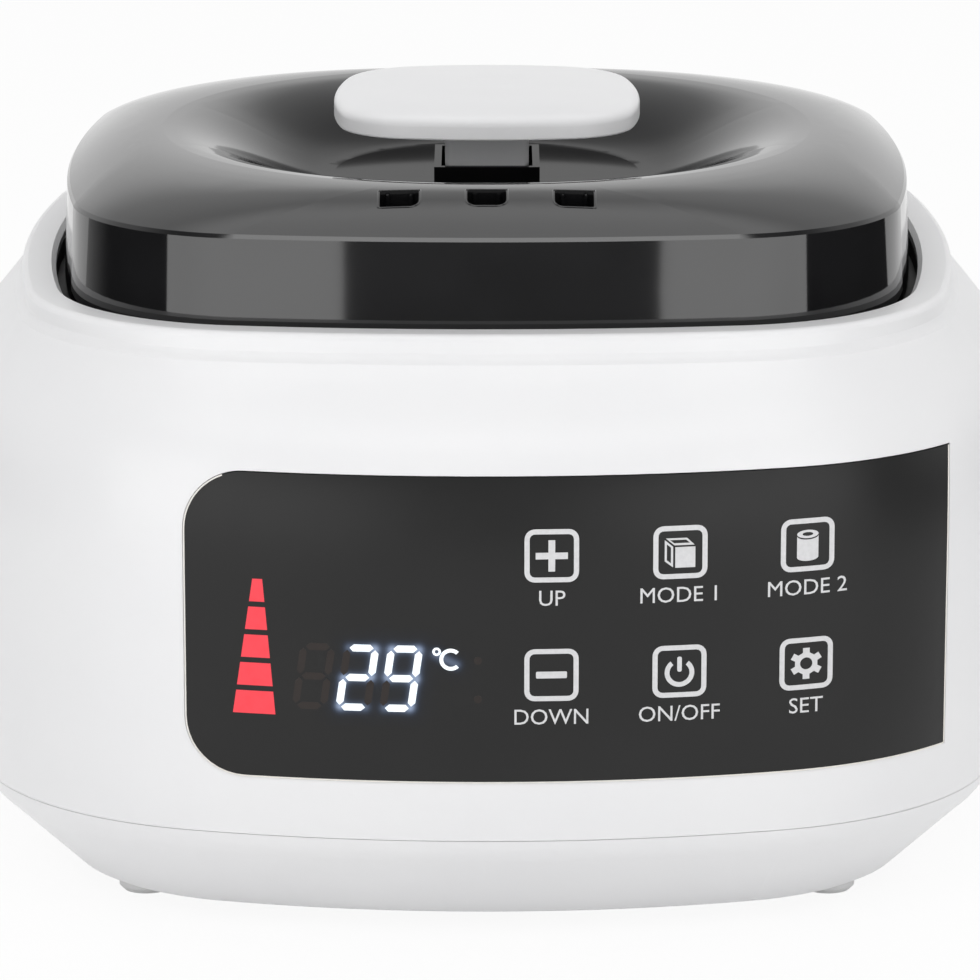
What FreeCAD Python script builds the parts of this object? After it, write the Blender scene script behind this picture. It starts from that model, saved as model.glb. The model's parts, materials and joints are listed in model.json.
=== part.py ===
import FreeCAD, Part
import math
import os

# Countertop wax warmer: white rounded-square housing, wrapped control panel, removable pot and black lid.
# Millimetres, +Z up, front towards -Y, origin on the table under the middle of the body.

V = FreeCAD.Vector
MIDDLE = V(0, 0, 0)
UP = V(0, 0, 1)
BACK = V(0, 1, 0)
RIGHT = V(1, 0, 0)

# Clearances
FIT = 0.2             # between pieces that are fixed together
GLUE = 0.1            # adhesive or thermal paste
THREAD = 0.05         # between a screw and the hole that it cuts its thread in
PLAY = 0.25           # round a screw in a plain hole

# Body outline at the belly, and how far the wall stands inside it from seam to shoulder
BODY_HALF = 106.2
BODY_SIDE_R = 206.0
BODY_CORNER_R = 61.0
WALL = 2.6
SEAM_Z = 22.3
SEAM_INSET = 2.4
LOW_RISE = 13.7       # each rise is counted from the level below it
LOW_INSET = 0.8
BELLY_RISE = 27.0
HIGH_RISE = 26.0
HIGH_INSET = 0.6
BEND_RISE = 8.0
BEND_INSET = 3.9
SLOPE_RISE = 6.0
SLOPE_INSET = 8.4

# Raised collar round the lid opening
COLLAR_INSET = 15.2
COLLAR_SIDE_R = 330.0
COLLAR_CORNER_R = 46.5
COLLAR_FACE = 6.6
COLLAR_FOOT_RISE = 6.9
COLLAR_FLARE = 1.4
COLLAR_FLARE_RISE = 1.8
COLLAR_RISE = 5.3
COLLAR_ROUND = 1.2
COLLAR_SOFT = 0.9
LIP_DEPTH = 2.3

# Base cover and feet
BASE_Z = 2.65
BASE_INSET = 17.9     # counted from the seam, as the next three are
BASE_KINK_INSET = 3.8
BASE_KINK_DROP = 5.8
BASE_BAND_DROP = 3.0
BASE_BAND_INSET = 1.2
BASE_EDGE = 1.3
BASE_WALL = 2.5
SEAM_GAP = 0.2
SEAM_LIP_H = 4.0
SEAM_LIP_T = 1.6
SEAM_LIP_ROOT = 3.0
FOOT_X_INSET = 20.4   # feet and base screws, from the edge of the underside
FOOT_Y_INSET = 25.9
FOOT_R = 5.2
FOOT_H = 4.0
FOOT_TAPER = 0.9
BOSS_WALL = 2.0
POST_R = 4.6
POST_H = 25.7
WEB_T = 3.0

# Screws
SCREW_R = 1.4
SCREW_HEAD_R = 2.7
SCREW_HEAD_H = 1.8
SCREW_HEAD_BEVEL = 0.9
SCREW_SEAT = 4.0      # plastic between a foot and its screw's seat
BASE_SCREW_L = 24.0
SCREW_BITE = 4.5      # depth of thread in a plastic post

# Control panel
PANEL_W = 142.0
PANEL_RIGHT_INSET = 20.0
PANEL_RISE = 11.6
PANEL_H = 57.8
PANEL_CORNER = 11.0
PANEL_T = 1.5
PANEL_PROUD = 0.15
WINDOW_INSET = 7.4
WINDOW_RISE = 8.7
WINDOW_MARGIN = 1.0

# Display board behind the panel
BOARD_T = 1.6
BOARD_SINK = 1.4      # behind the wall, at the board's outer ends
BOARD_PAST = 2.2      # beyond the panel's left end
BOARD_SHORT = 14.2    # inside the panel's right end
BOARD_RISE = 4.1
BOARD_DROP = 3.7
BOARD_SCREW_INSET = 4.0
BOARD_POST_R = 3.0
GUIDE_W = 9.4
GUIDE_H = 28.0
GUIDE_RISE = 3.5
GUIDE_SINK = 2.5      # behind the panel, at the guide's left edge
GUIDE_BARS = 5
GUIDE_RAIL = 0.8
GUIDE_BAR_TOP_W = 2.6
GUIDE_BAR_GAP = 1.8
DIGITS_GAP = 0.4      # between the light guide and the readout
DIGITS_W = 37.6
DIGITS_H = 19.0
DIGITS_RISE = 1.8
DIGITS_SINK = 2.7     # behind the panel, at the readout's left edge
DIGITS_T = 8.0
DIGITS_PINS = 5
DIGITS_PIN_R = 0.4
DIGITS_PIN_INSET = 3.0
KEY_LEFT = 67.7       # first key, from the panel's left end
KEY_PITCH = 23.7
KEY_RISE = 20.6
KEY_ROW_PITCH = 22.6
KEY_COLUMNS = 3
KEY_ROWS = 2
KEY_SPRING_R = 4.0
KEY_SPRING_T = 0.8

# Liner under the collar, with the deck that the pot hangs from
LINER_T = 2.4
LINER_FLANGE = 1.9
DECK_SINK = 5.8
DECK_T = 2.2
DECK_LEDGE = 14.4
SKIRT_T = 2.2
SKIRT_H = 8.3
DECK_BOSS_OUT = 10.0
DECK_BOSS_R = 4.0
DECK_BOSSES = 4

# Heating well
WELL_GAP = 2.4        # between the liner's skirt and the well's mouth
WELL_LEAN = 6.0
WELL_T = 1.6
WELL_DEPTH = 54.8
WELL_FLANGE = 1.8
WELL_LUG_MARGIN = 1.0
WELL_CORNER = 7.0

# Pot
POT_GAP = 1.2         # all round, between pot and well
POT_FLOOR_GAP = 0.8
POT_T = 1.8
POT_FLANGE = 6.0
POT_FLANGE_T = 1.6
EAR_W = 24.0
EAR_H = 11.0
EAR_T = 3.0
EAR_INSET = 2.4
EAR_ROUND = 6.6

# Heater, insulation and sensors
HEATER_T = 2.4
HEATER_RISE = 8.9     # above the well's floor
HEATER_H = 32.0
LUG_L = 11.0
LUG_T = 2.0
LUG_GAP = 5.0
LUG_H = 20.0
WRAP_T = 5.0
WRAP_PAST = 4.0       # beyond the heater's lower edge
WRAP_OVER = 8.0       # beyond its upper edge
WRAP_OPEN = 50.0      # degrees left open at the heater's lugs
SENSOR_R = 4.5
SENSOR_H = 3.0
SENSOR_LEAD_R = 1.2
FUSE_X = 24.0
FUSE_R = 2.0
FUSE_L = 18.0

# Heat shield and main board
SHIELD_GAP = 6.6      # under the well
SHIELD_T = 1.0
SHIELD_MARGIN = 4.5
SHIELD_HOLE_R = 8.0
SHIELD_POST_GAP = 3.5
SHIELD_POST_Y = 28.0
SHIELD_POST_R = 3.5
SHIELD_TIP_R = 1.8
SHIELD_TIP_H = 2.0
MAIN_HALF_X = 50.0
MAIN_FRONT = -32.0
MAIN_BACK = 38.0
MAIN_STANDOFF = 6.0
MAIN_SCREW_INSET = 5.0
STANDOFF_R = 3.4
RELAY_X = 20.0        # in from the board's left end and its back, as the next sizes are from other ends
RELAY_Y = 16.0
RELAY_W = 19.0
RELAY_D = 15.5
RELAY_AIR = 6.6       # under the shield
COIL_X = 24.0
COIL_Y = 20.0
COIL_W = 30.0
COIL_D = 26.0
COIL_AIR = 3.1
COIL_CORE_W = 12.0
COIL_CORE_OUT = 2.0
CAP_X = 20.0
CAP_Y = 18.0
CAP_R = 6.5
CAP_AIR = 5.1
TERMINAL_Y = 8.0
TERMINAL_D = 12.0
TERMINAL_AIR = 6.1
TERMINAL_MARGIN = 3.0

# Power inlet at the back
INLET_RISE = 15.7     # above the seam
INLET_L = 17.0
INLET_FACE = 0.8      # how far its face stands inside the wall
INLET_SIDE = 3.0      # plastic beside the socket
INLET_EDGE = 2.8      # plastic over and under the socket
INLET_FLANGE = 2.6
INLET_FLANGE_T = 3.0
INLET_SEAT = 1.0
SOCKET_R = 4.2
SOCKET_DEPTH = 13.0
PIN_PITCH = 8.6
INLET_PIN_R = 1.2
INLET_PIN_OUT = 10.0
INLET_PIN_TAIL = 5.0

# Leads
LEAD_R = 0.9
LEAD_BEND = 6.0
LEAD_GAP = 0.8        # from the shield, where it is notched for a lead
INLET_LEAD_RUN = 8.1
INLET_LEAD_RISE = 5.7     # above the main board
HEATER_LEAD_RUN = 7.5
HEATER_LEAD_RISE = 12.7
RIBBON_W = 16.0
RIBBON_T = 0.8
RIBBON_BEND = 5.0
RIBBON_RISE = 9.0
RIBBON_OVER = 7.2
RIBBON_IN = 7.0

# Lid
LID_GAP = 1.7         # between the opening and the lid's wall
LID_TAPER = 0.7
LID_WALL = 2.4
LID_SINK = 2.7
LID_RISE = 16.2
LID_BEVEL = 0.5
LID_SKIRT_INSET = 1.2
LID_SKIRT_T = 2.0
LID_SKIRT_ROOT = 2.0
CREST_INSET = 18.0    # from the lid's upper edge
CREST_RISE = 6.8
CREST_SIDE = 1.15     # side and corner radius of the dish, as shares of its half width
CREST_CORNER = 0.92
DISH_DEPTH = 9.5
DISH_SLOPE_W = 34.0
CROWN_STEPS = 5
POCKET_GAP = 0.7      # beside the handle's pillar
POCKET_END_GAP = 2.6  # in front of it and behind it
POCKET_DEPTH = 1.6
POCKET_WALL = 1.4
POCKET_RIM = 3.2      # its wall stands this far above the dish
VENT_W = 7.3
VENT_L = 6.0
VENT_PITCH = 16.3
VENT_INSET = 11.5     # from the lid's upper edge
VENT_ROUND = 1.8
VENT_SHARP = 0.3

# Handle
HANDLE_HALF = 30.0
HANDLE_SIDE_R = 84.0
HANDLE_CORNER_R = 15.0
HANDLE_RISE = 2.1     # above the lid's crest
HANDLE_EDGE = 0.4
HANDLE_RIM = 2.6
HANDLE_DOME = 3.7
HANDLE_POWER = 3.0
HANDLE_STEPS = 6
HANDLE_CAP = 0.96     # share of the dome's quarter turn that is lofted
PILLAR_W = 16.4
PILLAR_ROUND = 1.5
HANDLE_SCREW_L = 14.0


def inset(shape, step):
    """The (half, side radius, corner radius) triple moved inwards by step."""
    return tuple(size - step for size in shape)


def blend(first, second, share):
    """Triple between two outlines."""
    return tuple(a + (b - a) * share for a, b in zip(first, second))


def corner_centre(shape):
    """How far out, in x and in y, the corner arcs of an outline have their centres."""
    half, side_r, corner_r = shape
    past = side_r - half
    span = side_r - corner_r
    return (math.sqrt(2 * span * span - past * past) - past) / 2


def front_of(shape, x):
    """Depth y of an outline's front at a given x."""
    half, side_r, corner_r = shape
    past = side_r - half
    spot = corner_centre(shape)
    side_end = side_r * math.sin(math.atan2(spot, spot + past))
    if abs(x) <= side_end:
        return past - math.sqrt(side_r ** 2 - x ** 2)
    return -spot - math.sqrt(corner_r ** 2 - (abs(x) - spot) ** 2)


# Places that follow from the sizes above
BODY = (BODY_HALF, BODY_SIDE_R, BODY_CORNER_R)
SEAM = inset(BODY, SEAM_INSET)
SEAM_HALF = SEAM[0]
LOW_Z = SEAM_Z + LOW_RISE
BELLY_Z = LOW_Z + BELLY_RISE
HIGH_Z = BELLY_Z + HIGH_RISE
BEND_Z = HIGH_Z + BEND_RISE
SLOPE_Z = BEND_Z + SLOPE_RISE
COLLAR_HALF = BODY_HALF - COLLAR_INSET
COLLAR = (COLLAR_HALF, COLLAR_SIDE_R, COLLAR_CORNER_R)
COLLAR_FOOT_Z = SLOPE_Z + COLLAR_FOOT_RISE
COLLAR_WALL_Z = COLLAR_FOOT_Z + COLLAR_FLARE_RISE
COLLAR_TOP_Z = COLLAR_FOOT_Z + COLLAR_RISE
OPENING = inset(COLLAR, COLLAR_FACE)
LINER_POCKET = inset(OPENING, -LINER_T - FIT)
LIP_LOW_Z = COLLAR_TOP_Z - LIP_DEPTH
DECK_Z = COLLAR_TOP_Z - DECK_SINK
DECK_LOW_Z = DECK_Z - DECK_T
DECK_HOLE_R = OPENING[0] - DECK_LEDGE
SKIRT_LOW_Z = DECK_LOW_Z - SKIRT_H
DECK_BOSS_SPOT = DECK_HOLE_R + DECK_BOSS_OUT
WELL_TOP_R = DECK_HOLE_R - WELL_GAP
WELL_LOW_R = WELL_TOP_R - WELL_LEAN
WELL_FLOOR_Z = SKIRT_LOW_Z - WELL_DEPTH
WELL_LOW_Z = WELL_FLOOR_Z - WELL_T
WELL_FLANGE_R = DECK_HOLE_R + SKIRT_T + WELL_FLANGE
WELL_LUG_R = DECK_BOSS_R + WELL_LUG_MARGIN
POT_FLANGE_R = DECK_HOLE_R + POT_FLANGE
HEATER_LOW_Z = WELL_FLOOR_Z + HEATER_RISE
HEATER_TOP_Z = HEATER_LOW_Z + HEATER_H
LUG_Z = (HEATER_LOW_Z + HEATER_TOP_Z) / 2
SHIELD_Z = WELL_LOW_Z - SHIELD_GAP - SHIELD_T
SHIELD_POST_X = MAIN_HALF_X + SHIELD_POST_R + SHIELD_POST_GAP
SHIELD_R = math.hypot(SHIELD_POST_X, SHIELD_POST_Y) + SHIELD_MARGIN
BASE_TOP_Z = SEAM_Z - SEAM_GAP
BASE_FLOOR_Z = BASE_Z + BASE_WALL
BASE_HALF = SEAM_HALF - BASE_INSET
BASE_KINK_HALF = SEAM_HALF - BASE_KINK_INSET
BASE_KINK_Z = SEAM_Z - BASE_KINK_DROP
BASE_BAND_HALF = SEAM_HALF - BASE_BAND_INSET
BASE_BAND_Z = SEAM_Z - BASE_BAND_DROP
CORNER_X = BASE_HALF - FOOT_X_INSET
CORNER_Y = BASE_HALF - FOOT_Y_INSET
BOSS_R = FOOT_R + BOSS_WALL
BASE_SCREW_Z = FOOT_H + SCREW_SEAT
POST_TOP_Z = SEAM_Z + POST_H
PANEL_RIGHT = BODY_HALF - PANEL_RIGHT_INSET
PANEL_LEFT = PANEL_RIGHT - PANEL_W
PANEL_LOW_Z = SEAM_Z + PANEL_RISE
PANEL_TOP_Z = PANEL_LOW_Z + PANEL_H
BOARD_LEFT = PANEL_LEFT - BOARD_PAST
BOARD_RIGHT = PANEL_RIGHT - BOARD_SHORT
WALL_BACK = inset(BODY, SEAM_INSET + WALL)
BOARD_FRONT = max(front_of(WALL_BACK, BOARD_LEFT), front_of(WALL_BACK, BOARD_RIGHT)) + BOARD_SINK
BOARD_LOW_Z = PANEL_LOW_Z + BOARD_RISE
BOARD_TOP_Z = PANEL_TOP_Z - BOARD_DROP
WINDOW_LEFT = PANEL_LEFT + WINDOW_INSET
WINDOW_LOW_Z = PANEL_LOW_Z + WINDOW_RISE
GUIDE_LEFT = WINDOW_LEFT + WINDOW_MARGIN
GUIDE_LOW_Z = WINDOW_LOW_Z + GUIDE_RISE
PANEL_BACK = inset(BODY, PANEL_T - PANEL_PROUD)
GUIDE_FRONT = front_of(PANEL_BACK, GUIDE_LEFT) + GUIDE_SINK
DIGITS_LEFT = GUIDE_LEFT + GUIDE_W + DIGITS_GAP
DIGITS_LOW_Z = WINDOW_LOW_Z + DIGITS_RISE
DIGITS_FRONT = front_of(PANEL_BACK, DIGITS_LEFT) + DIGITS_SINK
WINDOW_RIGHT = DIGITS_LEFT + DIGITS_W + WINDOW_MARGIN
WINDOW_TOP_Z = max(GUIDE_LOW_Z + GUIDE_H, DIGITS_LOW_Z + DIGITS_H) + WINDOW_MARGIN
MAIN_Z = BASE_FLOOR_Z + MAIN_STANDOFF
MAIN_TOP_Z = MAIN_Z + BOARD_T
ROOM_H = SHIELD_Z - MAIN_TOP_Z
HEATER_LEAD_X = LUG_GAP / 2 + LUG_T + HEATER_LEAD_RUN
RELAY_SIZE = (RELAY_W, RELAY_D, ROOM_H - RELAY_AIR)
RELAY_SPOT = (RELAY_X - MAIN_HALF_X, MAIN_BACK - RELAY_Y)
COIL_SIZE = (COIL_W, COIL_D, ROOM_H - COIL_AIR)
COIL_SPOT = (COIL_X - MAIN_HALF_X, MAIN_FRONT + COIL_Y)
CAP_SPOT = (MAIN_HALF_X - CAP_X, MAIN_FRONT + CAP_Y)
TERMINAL_SIZE = (2 * (HEATER_LEAD_X + TERMINAL_MARGIN), TERMINAL_D, ROOM_H - TERMINAL_AIR)
TERMINAL_SPOT = (0.0, MAIN_BACK - TERMINAL_Y)
INLET_Z = SEAM_Z + INLET_RISE
INLET_W = PIN_PITCH + 2 * (SOCKET_R + INLET_SIDE)
INLET_H = 2 * (SOCKET_R + INLET_EDGE)
INLET_FRONT = BODY_HALF - LOW_INSET - INLET_FACE
INLET_BACK = INLET_FRONT - INLET_L
INLET_TAIL = INLET_BACK - INLET_PIN_TAIL
LID = inset(OPENING, LID_GAP)
CREASE = inset(LID, LID_TAPER)
LID_LOW_Z = COLLAR_TOP_Z - LID_SINK
LID_CREASE_Z = COLLAR_TOP_Z + LID_RISE
CREST_HALF = CREASE[0] - CREST_INSET
CREST_Z = LID_CREASE_Z + CREST_RISE
DISH_FLOOR_HALF = CREST_HALF - DISH_SLOPE_W
DISH_FLOOR_Z = CREST_Z - DISH_DEPTH
POCKET_W = PILLAR_W + 2 * POCKET_GAP
POCKET_L = PILLAR_W + 2 * POCKET_END_GAP
POCKET_FLOOR_Z = DISH_FLOOR_Z - POCKET_DEPTH
POCKET_LOW_Z = POCKET_FLOOR_Z - LID_WALL
POCKET_TOP_Z = DISH_FLOOR_Z + POCKET_RIM
VENT_Y = VENT_INSET - CREASE[0]
HANDLE_LOW_Z = CREST_Z + HANDLE_RISE
QUARTERS = [(1, 1), (-1, 1), (-1, -1), (1, -1)]


def bow(cx, cy, r, start, end, spin, z):
    """Arc about (cx, cy) between two angles from the -Y direction, turned by spin about Z."""
    points = []
    for angle in (start, (start + end) / 2, end):
        x = cx + r * math.sin(angle)
        y = cy - r * math.cos(angle)
        points.append(V(x * math.cos(spin) - y * math.sin(spin), x * math.sin(spin) + y * math.cos(spin), z))
    return Part.Arc(*points).toShape()


def outline(shape, z):
    """Closed rounded-square wire: four long side arcs and four tangent corner arcs."""
    half, side_r, corner_r = shape
    past = side_r - half
    spot = corner_centre(shape)
    turn = math.atan2(spot, spot + past)
    edges = []
    for quarter in range(4):
        spin = quarter * math.pi / 2
        edges.append(bow(0, past, side_r, -turn, turn, spin, z))
        edges.append(bow(spot, -spot, corner_r, turn, math.pi / 2 - turn, spin, z))
    return Part.Wire(edges)


def loft(sections, ruled=False):
    """Solid through (outline, height) sections."""
    return Part.makeLoft([outline(shape, z) for shape, z in sections], True, ruled)


def slab(shape, low, high):
    """Straight-sided solid of one outline."""
    return Part.Face(outline(shape, low)).extrude(V(0, 0, high - low))


def ring(outer, inner, low, high):
    """Straight-sided band between two outlines."""
    return slab(outer, low, high).cut(slab(inner, low, high))


def fuse(shapes):
    """One solid from pieces that touch."""
    return shapes[0].multiFuse(shapes[1:]).removeSplitter()


def cut_all(shape, tools):
    """Shape with every tool taken away."""
    for tool in tools:
        shape = shape.cut(tool)
    return shape


def box(x0, x1, y0, y1, z0, z1):
    """Block between limits."""
    return Part.makeBox(x1 - x0, y1 - y0, z1 - z0, V(x0, y0, z0))


def block(size, spot, low):
    """Block of (x, y, z) size, centred over a spot."""
    return Part.makeBox(*size, V(spot[0] - size[0] / 2, spot[1] - size[1] / 2, low))


def rod(r, low, high, x=0.0, y=0.0):
    """Upright cylinder."""
    return Part.makeCylinder(r, high - low, V(x, y, low), UP)


def rod_y(r, start, end, x, z):
    """Cylinder along Y."""
    return Part.makeCylinder(r, end - start, V(x, start, z), BACK)


def tub(low_r, top_r, low, high, corner):
    """Tapered round solid with a rounded bottom edge."""
    cone = Part.makeCone(low_r, top_r, high - low, V(0, 0, low), UP)
    rim = [edge for edge in cone.Edges if edge.BoundBox.ZMax < low + corner / 10]
    return cone.makeFillet(corner, rim)


def route(points, bend):
    """Wire of straight runs joined by tangent arcs."""
    edges = []
    last = points[0]
    for before, corner, after in zip(points, points[1:], points[2:]):
        inward = (before - corner).normalize()
        onward = (after - corner).normalize()
        half = inward.getAngle(onward) / 2
        start = corner + inward * (bend / math.tan(half))
        end = corner + onward * (bend / math.tan(half))
        middle = corner + (inward + onward).normalize() * (bend / math.sin(half) - bend)
        edges.append(Part.makeLine(last, start))
        edges.append(Part.Arc(start, middle, end).toShape())
        last = end
    edges.append(Part.makeLine(last, points[-1]))
    return Part.Wire(edges)


def wire_along(points):
    """Round lead along a route."""
    heading = (points[1] - points[0]).normalize()
    circle = Part.Wire(Part.makeCircle(LEAD_R, points[0], heading))
    return route(points, LEAD_BEND).makePipeShell([circle], True, False)


def screw(length):
    """Pan-head screw pointing up, with its seat at the origin and its head below."""
    low = V(0, 0, -SCREW_HEAD_H)
    bevel = Part.makeCone(SCREW_HEAD_R - SCREW_HEAD_BEVEL, SCREW_HEAD_R, SCREW_HEAD_BEVEL, low, UP)
    head = rod(SCREW_HEAD_R, SCREW_HEAD_BEVEL - SCREW_HEAD_H, 0)
    return fuse([bevel, head, rod(SCREW_R, 0, length)])


def placed(shape, spot, axis=RIGHT, degrees=0.0):
    """Shape turned about the origin and moved to a spot."""
    shape.rotate(MIDDLE, axis, degrees)
    shape.translate(spot)
    return shape


# Housing

def shoulder(step):
    """Outline on the shoulder, given how far its sides stand inside the belly."""
    return blend(BODY, COLLAR, step / (BODY_HALF - COLLAR_HALF))


def body(step):
    """Barrel and shoulder from the seam to the foot of the collar, moved inwards by step."""
    rows = [
        (SEAM, SEAM_Z),
        (inset(BODY, LOW_INSET), LOW_Z),
        (BODY, BELLY_Z),
        (shoulder(HIGH_INSET), HIGH_Z),
        (shoulder(BEND_INSET), BEND_Z),
        (shoulder(SLOPE_INSET), SLOPE_Z),
        (inset(COLLAR, -COLLAR_FLARE), COLLAR_FOOT_Z),
    ]
    return loft([(inset(shape, step), z) for shape, z in rows])


def collar():
    """Raised ring: flared foot, upright wall and rounded outer rim."""
    round_z = COLLAR_TOP_Z - COLLAR_ROUND
    tuck = COLLAR_ROUND * (1 - math.sqrt(0.5))
    foot = loft([(inset(COLLAR, -COLLAR_FLARE), COLLAR_FOOT_Z),
                 (inset(COLLAR, -COLLAR_FLARE / 4), (COLLAR_FOOT_Z + COLLAR_WALL_Z) / 2),
                 (COLLAR, COLLAR_WALL_Z)])
    rim = loft([(COLLAR, round_z),
                (inset(COLLAR, tuck), COLLAR_TOP_Z - tuck),
                (inset(COLLAR, COLLAR_ROUND), COLLAR_TOP_Z)])
    return [foot, slab(COLLAR, COLLAR_WALL_Z, round_z), rim]


def opening():
    """Cut through the collar: softened inner edge, lip, and the pocket for the liner below it."""
    soft_z = COLLAR_TOP_Z - COLLAR_SOFT
    edge = loft([(OPENING, soft_z), (inset(OPENING, -COLLAR_SOFT), COLLAR_TOP_Z)], True)
    return [edge, slab(OPENING, LIP_LOW_Z, soft_z), slab(LINER_POCKET, COLLAR_FOOT_Z, LIP_LOW_Z)]


def panel_block(grow):
    """Block with the panel's front outline: round corners on one side, square ones on the other."""
    left = PANEL_LEFT - grow
    right = PANEL_RIGHT + grow
    low = PANEL_LOW_Z - grow
    top = PANEL_TOP_Z + grow
    r = PANEL_CORNER + grow
    tuck = r * (1 - math.sqrt(0.5))
    front = -BODY_HALF - WALL
    spots = [(right, low), (right, top), (left + r, top), (left, top - r), (left, low + r), (left + r, low)]
    ends = [V(x, front, z) for x, z in spots]
    edges = [
        Part.makeLine(ends[0], ends[1]),
        Part.makeLine(ends[1], ends[2]),
        Part.Arc(ends[2], V(left + tuck, front, top - tuck), ends[3]).toShape(),
        Part.makeLine(ends[3], ends[4]),
        Part.Arc(ends[4], V(left + tuck, front, low + tuck), ends[5]).toShape(),
        Part.makeLine(ends[5], ends[0]),
    ]
    return Part.Face(Part.Wire(edges)).extrude(BACK * BODY_HALF)


def corner_post(sx, sy):
    """Screw post in a housing corner, with the web that ties it to the wall."""
    post = rod(POST_R, SEAM_Z, POST_TOP_Z, sx * CORNER_X, sy * CORNER_Y)
    web = box(0, BODY_HALF, -WEB_T / 2, WEB_T / 2, SEAM_Z + SEAM_LIP_H, POST_TOP_Z)
    heading = math.degrees(math.atan2(sy * CORNER_Y, sx * CORNER_X))
    return fuse([post, placed(web, V(sx * CORNER_X, sy * CORNER_Y, 0), UP, heading)])


def board_spots():
    """Screw places (x, z) of the display board."""
    xs = (BOARD_LEFT + BOARD_SCREW_INSET, BOARD_RIGHT - BOARD_SCREW_INSET)
    zs = (BOARD_LOW_Z + BOARD_SCREW_INSET, BOARD_TOP_Z - BOARD_SCREW_INSET)
    return [(x, z) for x in xs for z in zs]


def upper_housing():
    """White shell: barrel, shoulder, collar, panel recess, display window, inlet hole and screw posts."""
    outer = fuse([body(0)] + collar())
    posts = [corner_post(*side) for side in QUARTERS]
    posts += [rod_y(BOARD_POST_R, -BODY_HALF, BOARD_FRONT, x, z) for x, z in board_spots()]
    shell = fuse([cut_all(outer, [body(WALL)] + opening())] + [outer.common(post) for post in posts])
    recess = panel_block(FIT).cut(body(PANEL_T - PANEL_PROUD + GLUE))
    window = box(WINDOW_LEFT, WINDOW_RIGHT, -BODY_HALF, BOARD_FRONT, WINDOW_LOW_Z, WINDOW_TOP_Z)
    half_w = INLET_W / 2 + FIT
    half_h = INLET_H / 2 + FIT
    inlet = box(-half_w, half_w, INLET_BACK, BODY_HALF, INLET_Z - half_h, INLET_Z + half_h)
    screw_r = SCREW_R + THREAD
    screw_top = BASE_SCREW_Z + BASE_SCREW_L + THREAD
    holes = [rod(screw_r, SEAM_Z, screw_top, sx * CORNER_X, sy * CORNER_Y) for sx, sy in QUARTERS]
    holes += [rod_y(screw_r, BOARD_FRONT - SCREW_BITE - THREAD, BOARD_FRONT, x, z) for x, z in board_spots()]
    return cut_all(shell, [recess, window, inlet] + holes)


def control_panel():
    """Glossy overlay that follows the wall and wraps round the front corner."""
    return panel_block(0).common(body(-PANEL_PROUD)).cut(body(PANEL_T - PANEL_PROUD))


# Base

def base_shape(half):
    """Outline of the base at a half width."""
    return inset(BODY, BODY_HALF - half)


def base_form(step, low, low_half):
    """Tapered base from a low level to the seam, moved inwards by step."""
    taper = loft([(base_shape(low_half), low), (base_shape(BASE_KINK_HALF - step), BASE_KINK_Z)], True)
    band = loft([(base_shape(BASE_KINK_HALF - step), BASE_KINK_Z),
                 (base_shape(BASE_BAND_HALF - step), BASE_BAND_Z),
                 (inset(SEAM, step), BASE_TOP_Z)])
    return [taper, band]


def main_spots():
    """Screw places of the main board."""
    xs = (MAIN_SCREW_INSET - MAIN_HALF_X, MAIN_HALF_X - MAIN_SCREW_INSET)
    ys = (MAIN_FRONT + MAIN_SCREW_INSET, MAIN_BACK - MAIN_SCREW_INSET)
    return [(x, y) for x in xs for y in ys]


def base_cover():
    """White underside: tapered wall, lip into the housing, screw bosses, standoffs and shield posts."""
    edge_z = BASE_Z + BASE_EDGE / 2
    edge = loft([(base_shape(BASE_HALF - BASE_EDGE), BASE_Z), (base_shape(BASE_HALF), edge_z)], True)
    outer = fuse([edge] + base_form(0, edge_z, BASE_HALF))
    hollow = fuse(base_form(BASE_WALL, BASE_FLOOR_Z, BASE_HALF - BASE_EDGE / 2))
    lip_shape = inset(SEAM, WALL + FIT)
    lip = ring(lip_shape, inset(lip_shape, SEAM_LIP_T), BASE_TOP_Z - SEAM_LIP_ROOT, BASE_TOP_Z + SEAM_LIP_H)
    bosses = [rod(BOSS_R, BASE_Z, BASE_TOP_Z, sx * CORNER_X, sy * CORNER_Y) for sx, sy in QUARTERS]
    pieces = [outer.cut(hollow), lip] + [outer.common(boss) for boss in bosses]
    pieces += [rod(STANDOFF_R, BASE_Z + BASE_EDGE, MAIN_Z, x, y) for x, y in main_spots()]
    for sx, sy in QUARTERS:
        x, y = sx * SHIELD_POST_X, sy * SHIELD_POST_Y
        pieces.append(rod(SHIELD_POST_R, BASE_Z + BASE_EDGE, SHIELD_Z, x, y))
        pieces.append(rod(SHIELD_TIP_R, SHIELD_Z, SHIELD_Z + SHIELD_TIP_H, x, y))
    holes = []
    for sx, sy in QUARTERS:
        x, y = sx * CORNER_X, sy * CORNER_Y
        holes.append(rod(FOOT_R + FIT, BASE_Z, FOOT_H, x, y))
        holes.append(rod(SCREW_HEAD_R + PLAY, FOOT_H, BASE_SCREW_Z, x, y))
        holes.append(rod(SCREW_R + PLAY, BASE_SCREW_Z, BASE_TOP_Z, x, y))
    bite_z = MAIN_Z - SCREW_BITE - THREAD
    holes += [rod(SCREW_R + THREAD, bite_z, MAIN_Z, x, y) for x, y in main_spots()]
    return cut_all(fuse(pieces), holes)


def rubber_foot():
    """Round pad with a tapered lower edge, seated in its recess."""
    taper = Part.makeCone(FOOT_R - FOOT_TAPER, FOOT_R, FOOT_TAPER, MIDDLE, UP)
    return fuse([taper, rod(FOOT_R, FOOT_TAPER, FOOT_H)])


# Display

def display_board():
    """Flat board behind the panel."""
    board = box(BOARD_LEFT, BOARD_RIGHT, BOARD_FRONT, BOARD_FRONT + BOARD_T, BOARD_LOW_Z, BOARD_TOP_Z)
    holes = [rod_y(SCREW_R + PLAY, BOARD_FRONT, BOARD_FRONT + BOARD_T, x, z) for x, z in board_spots()]
    return cut_all(board, holes)


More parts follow.
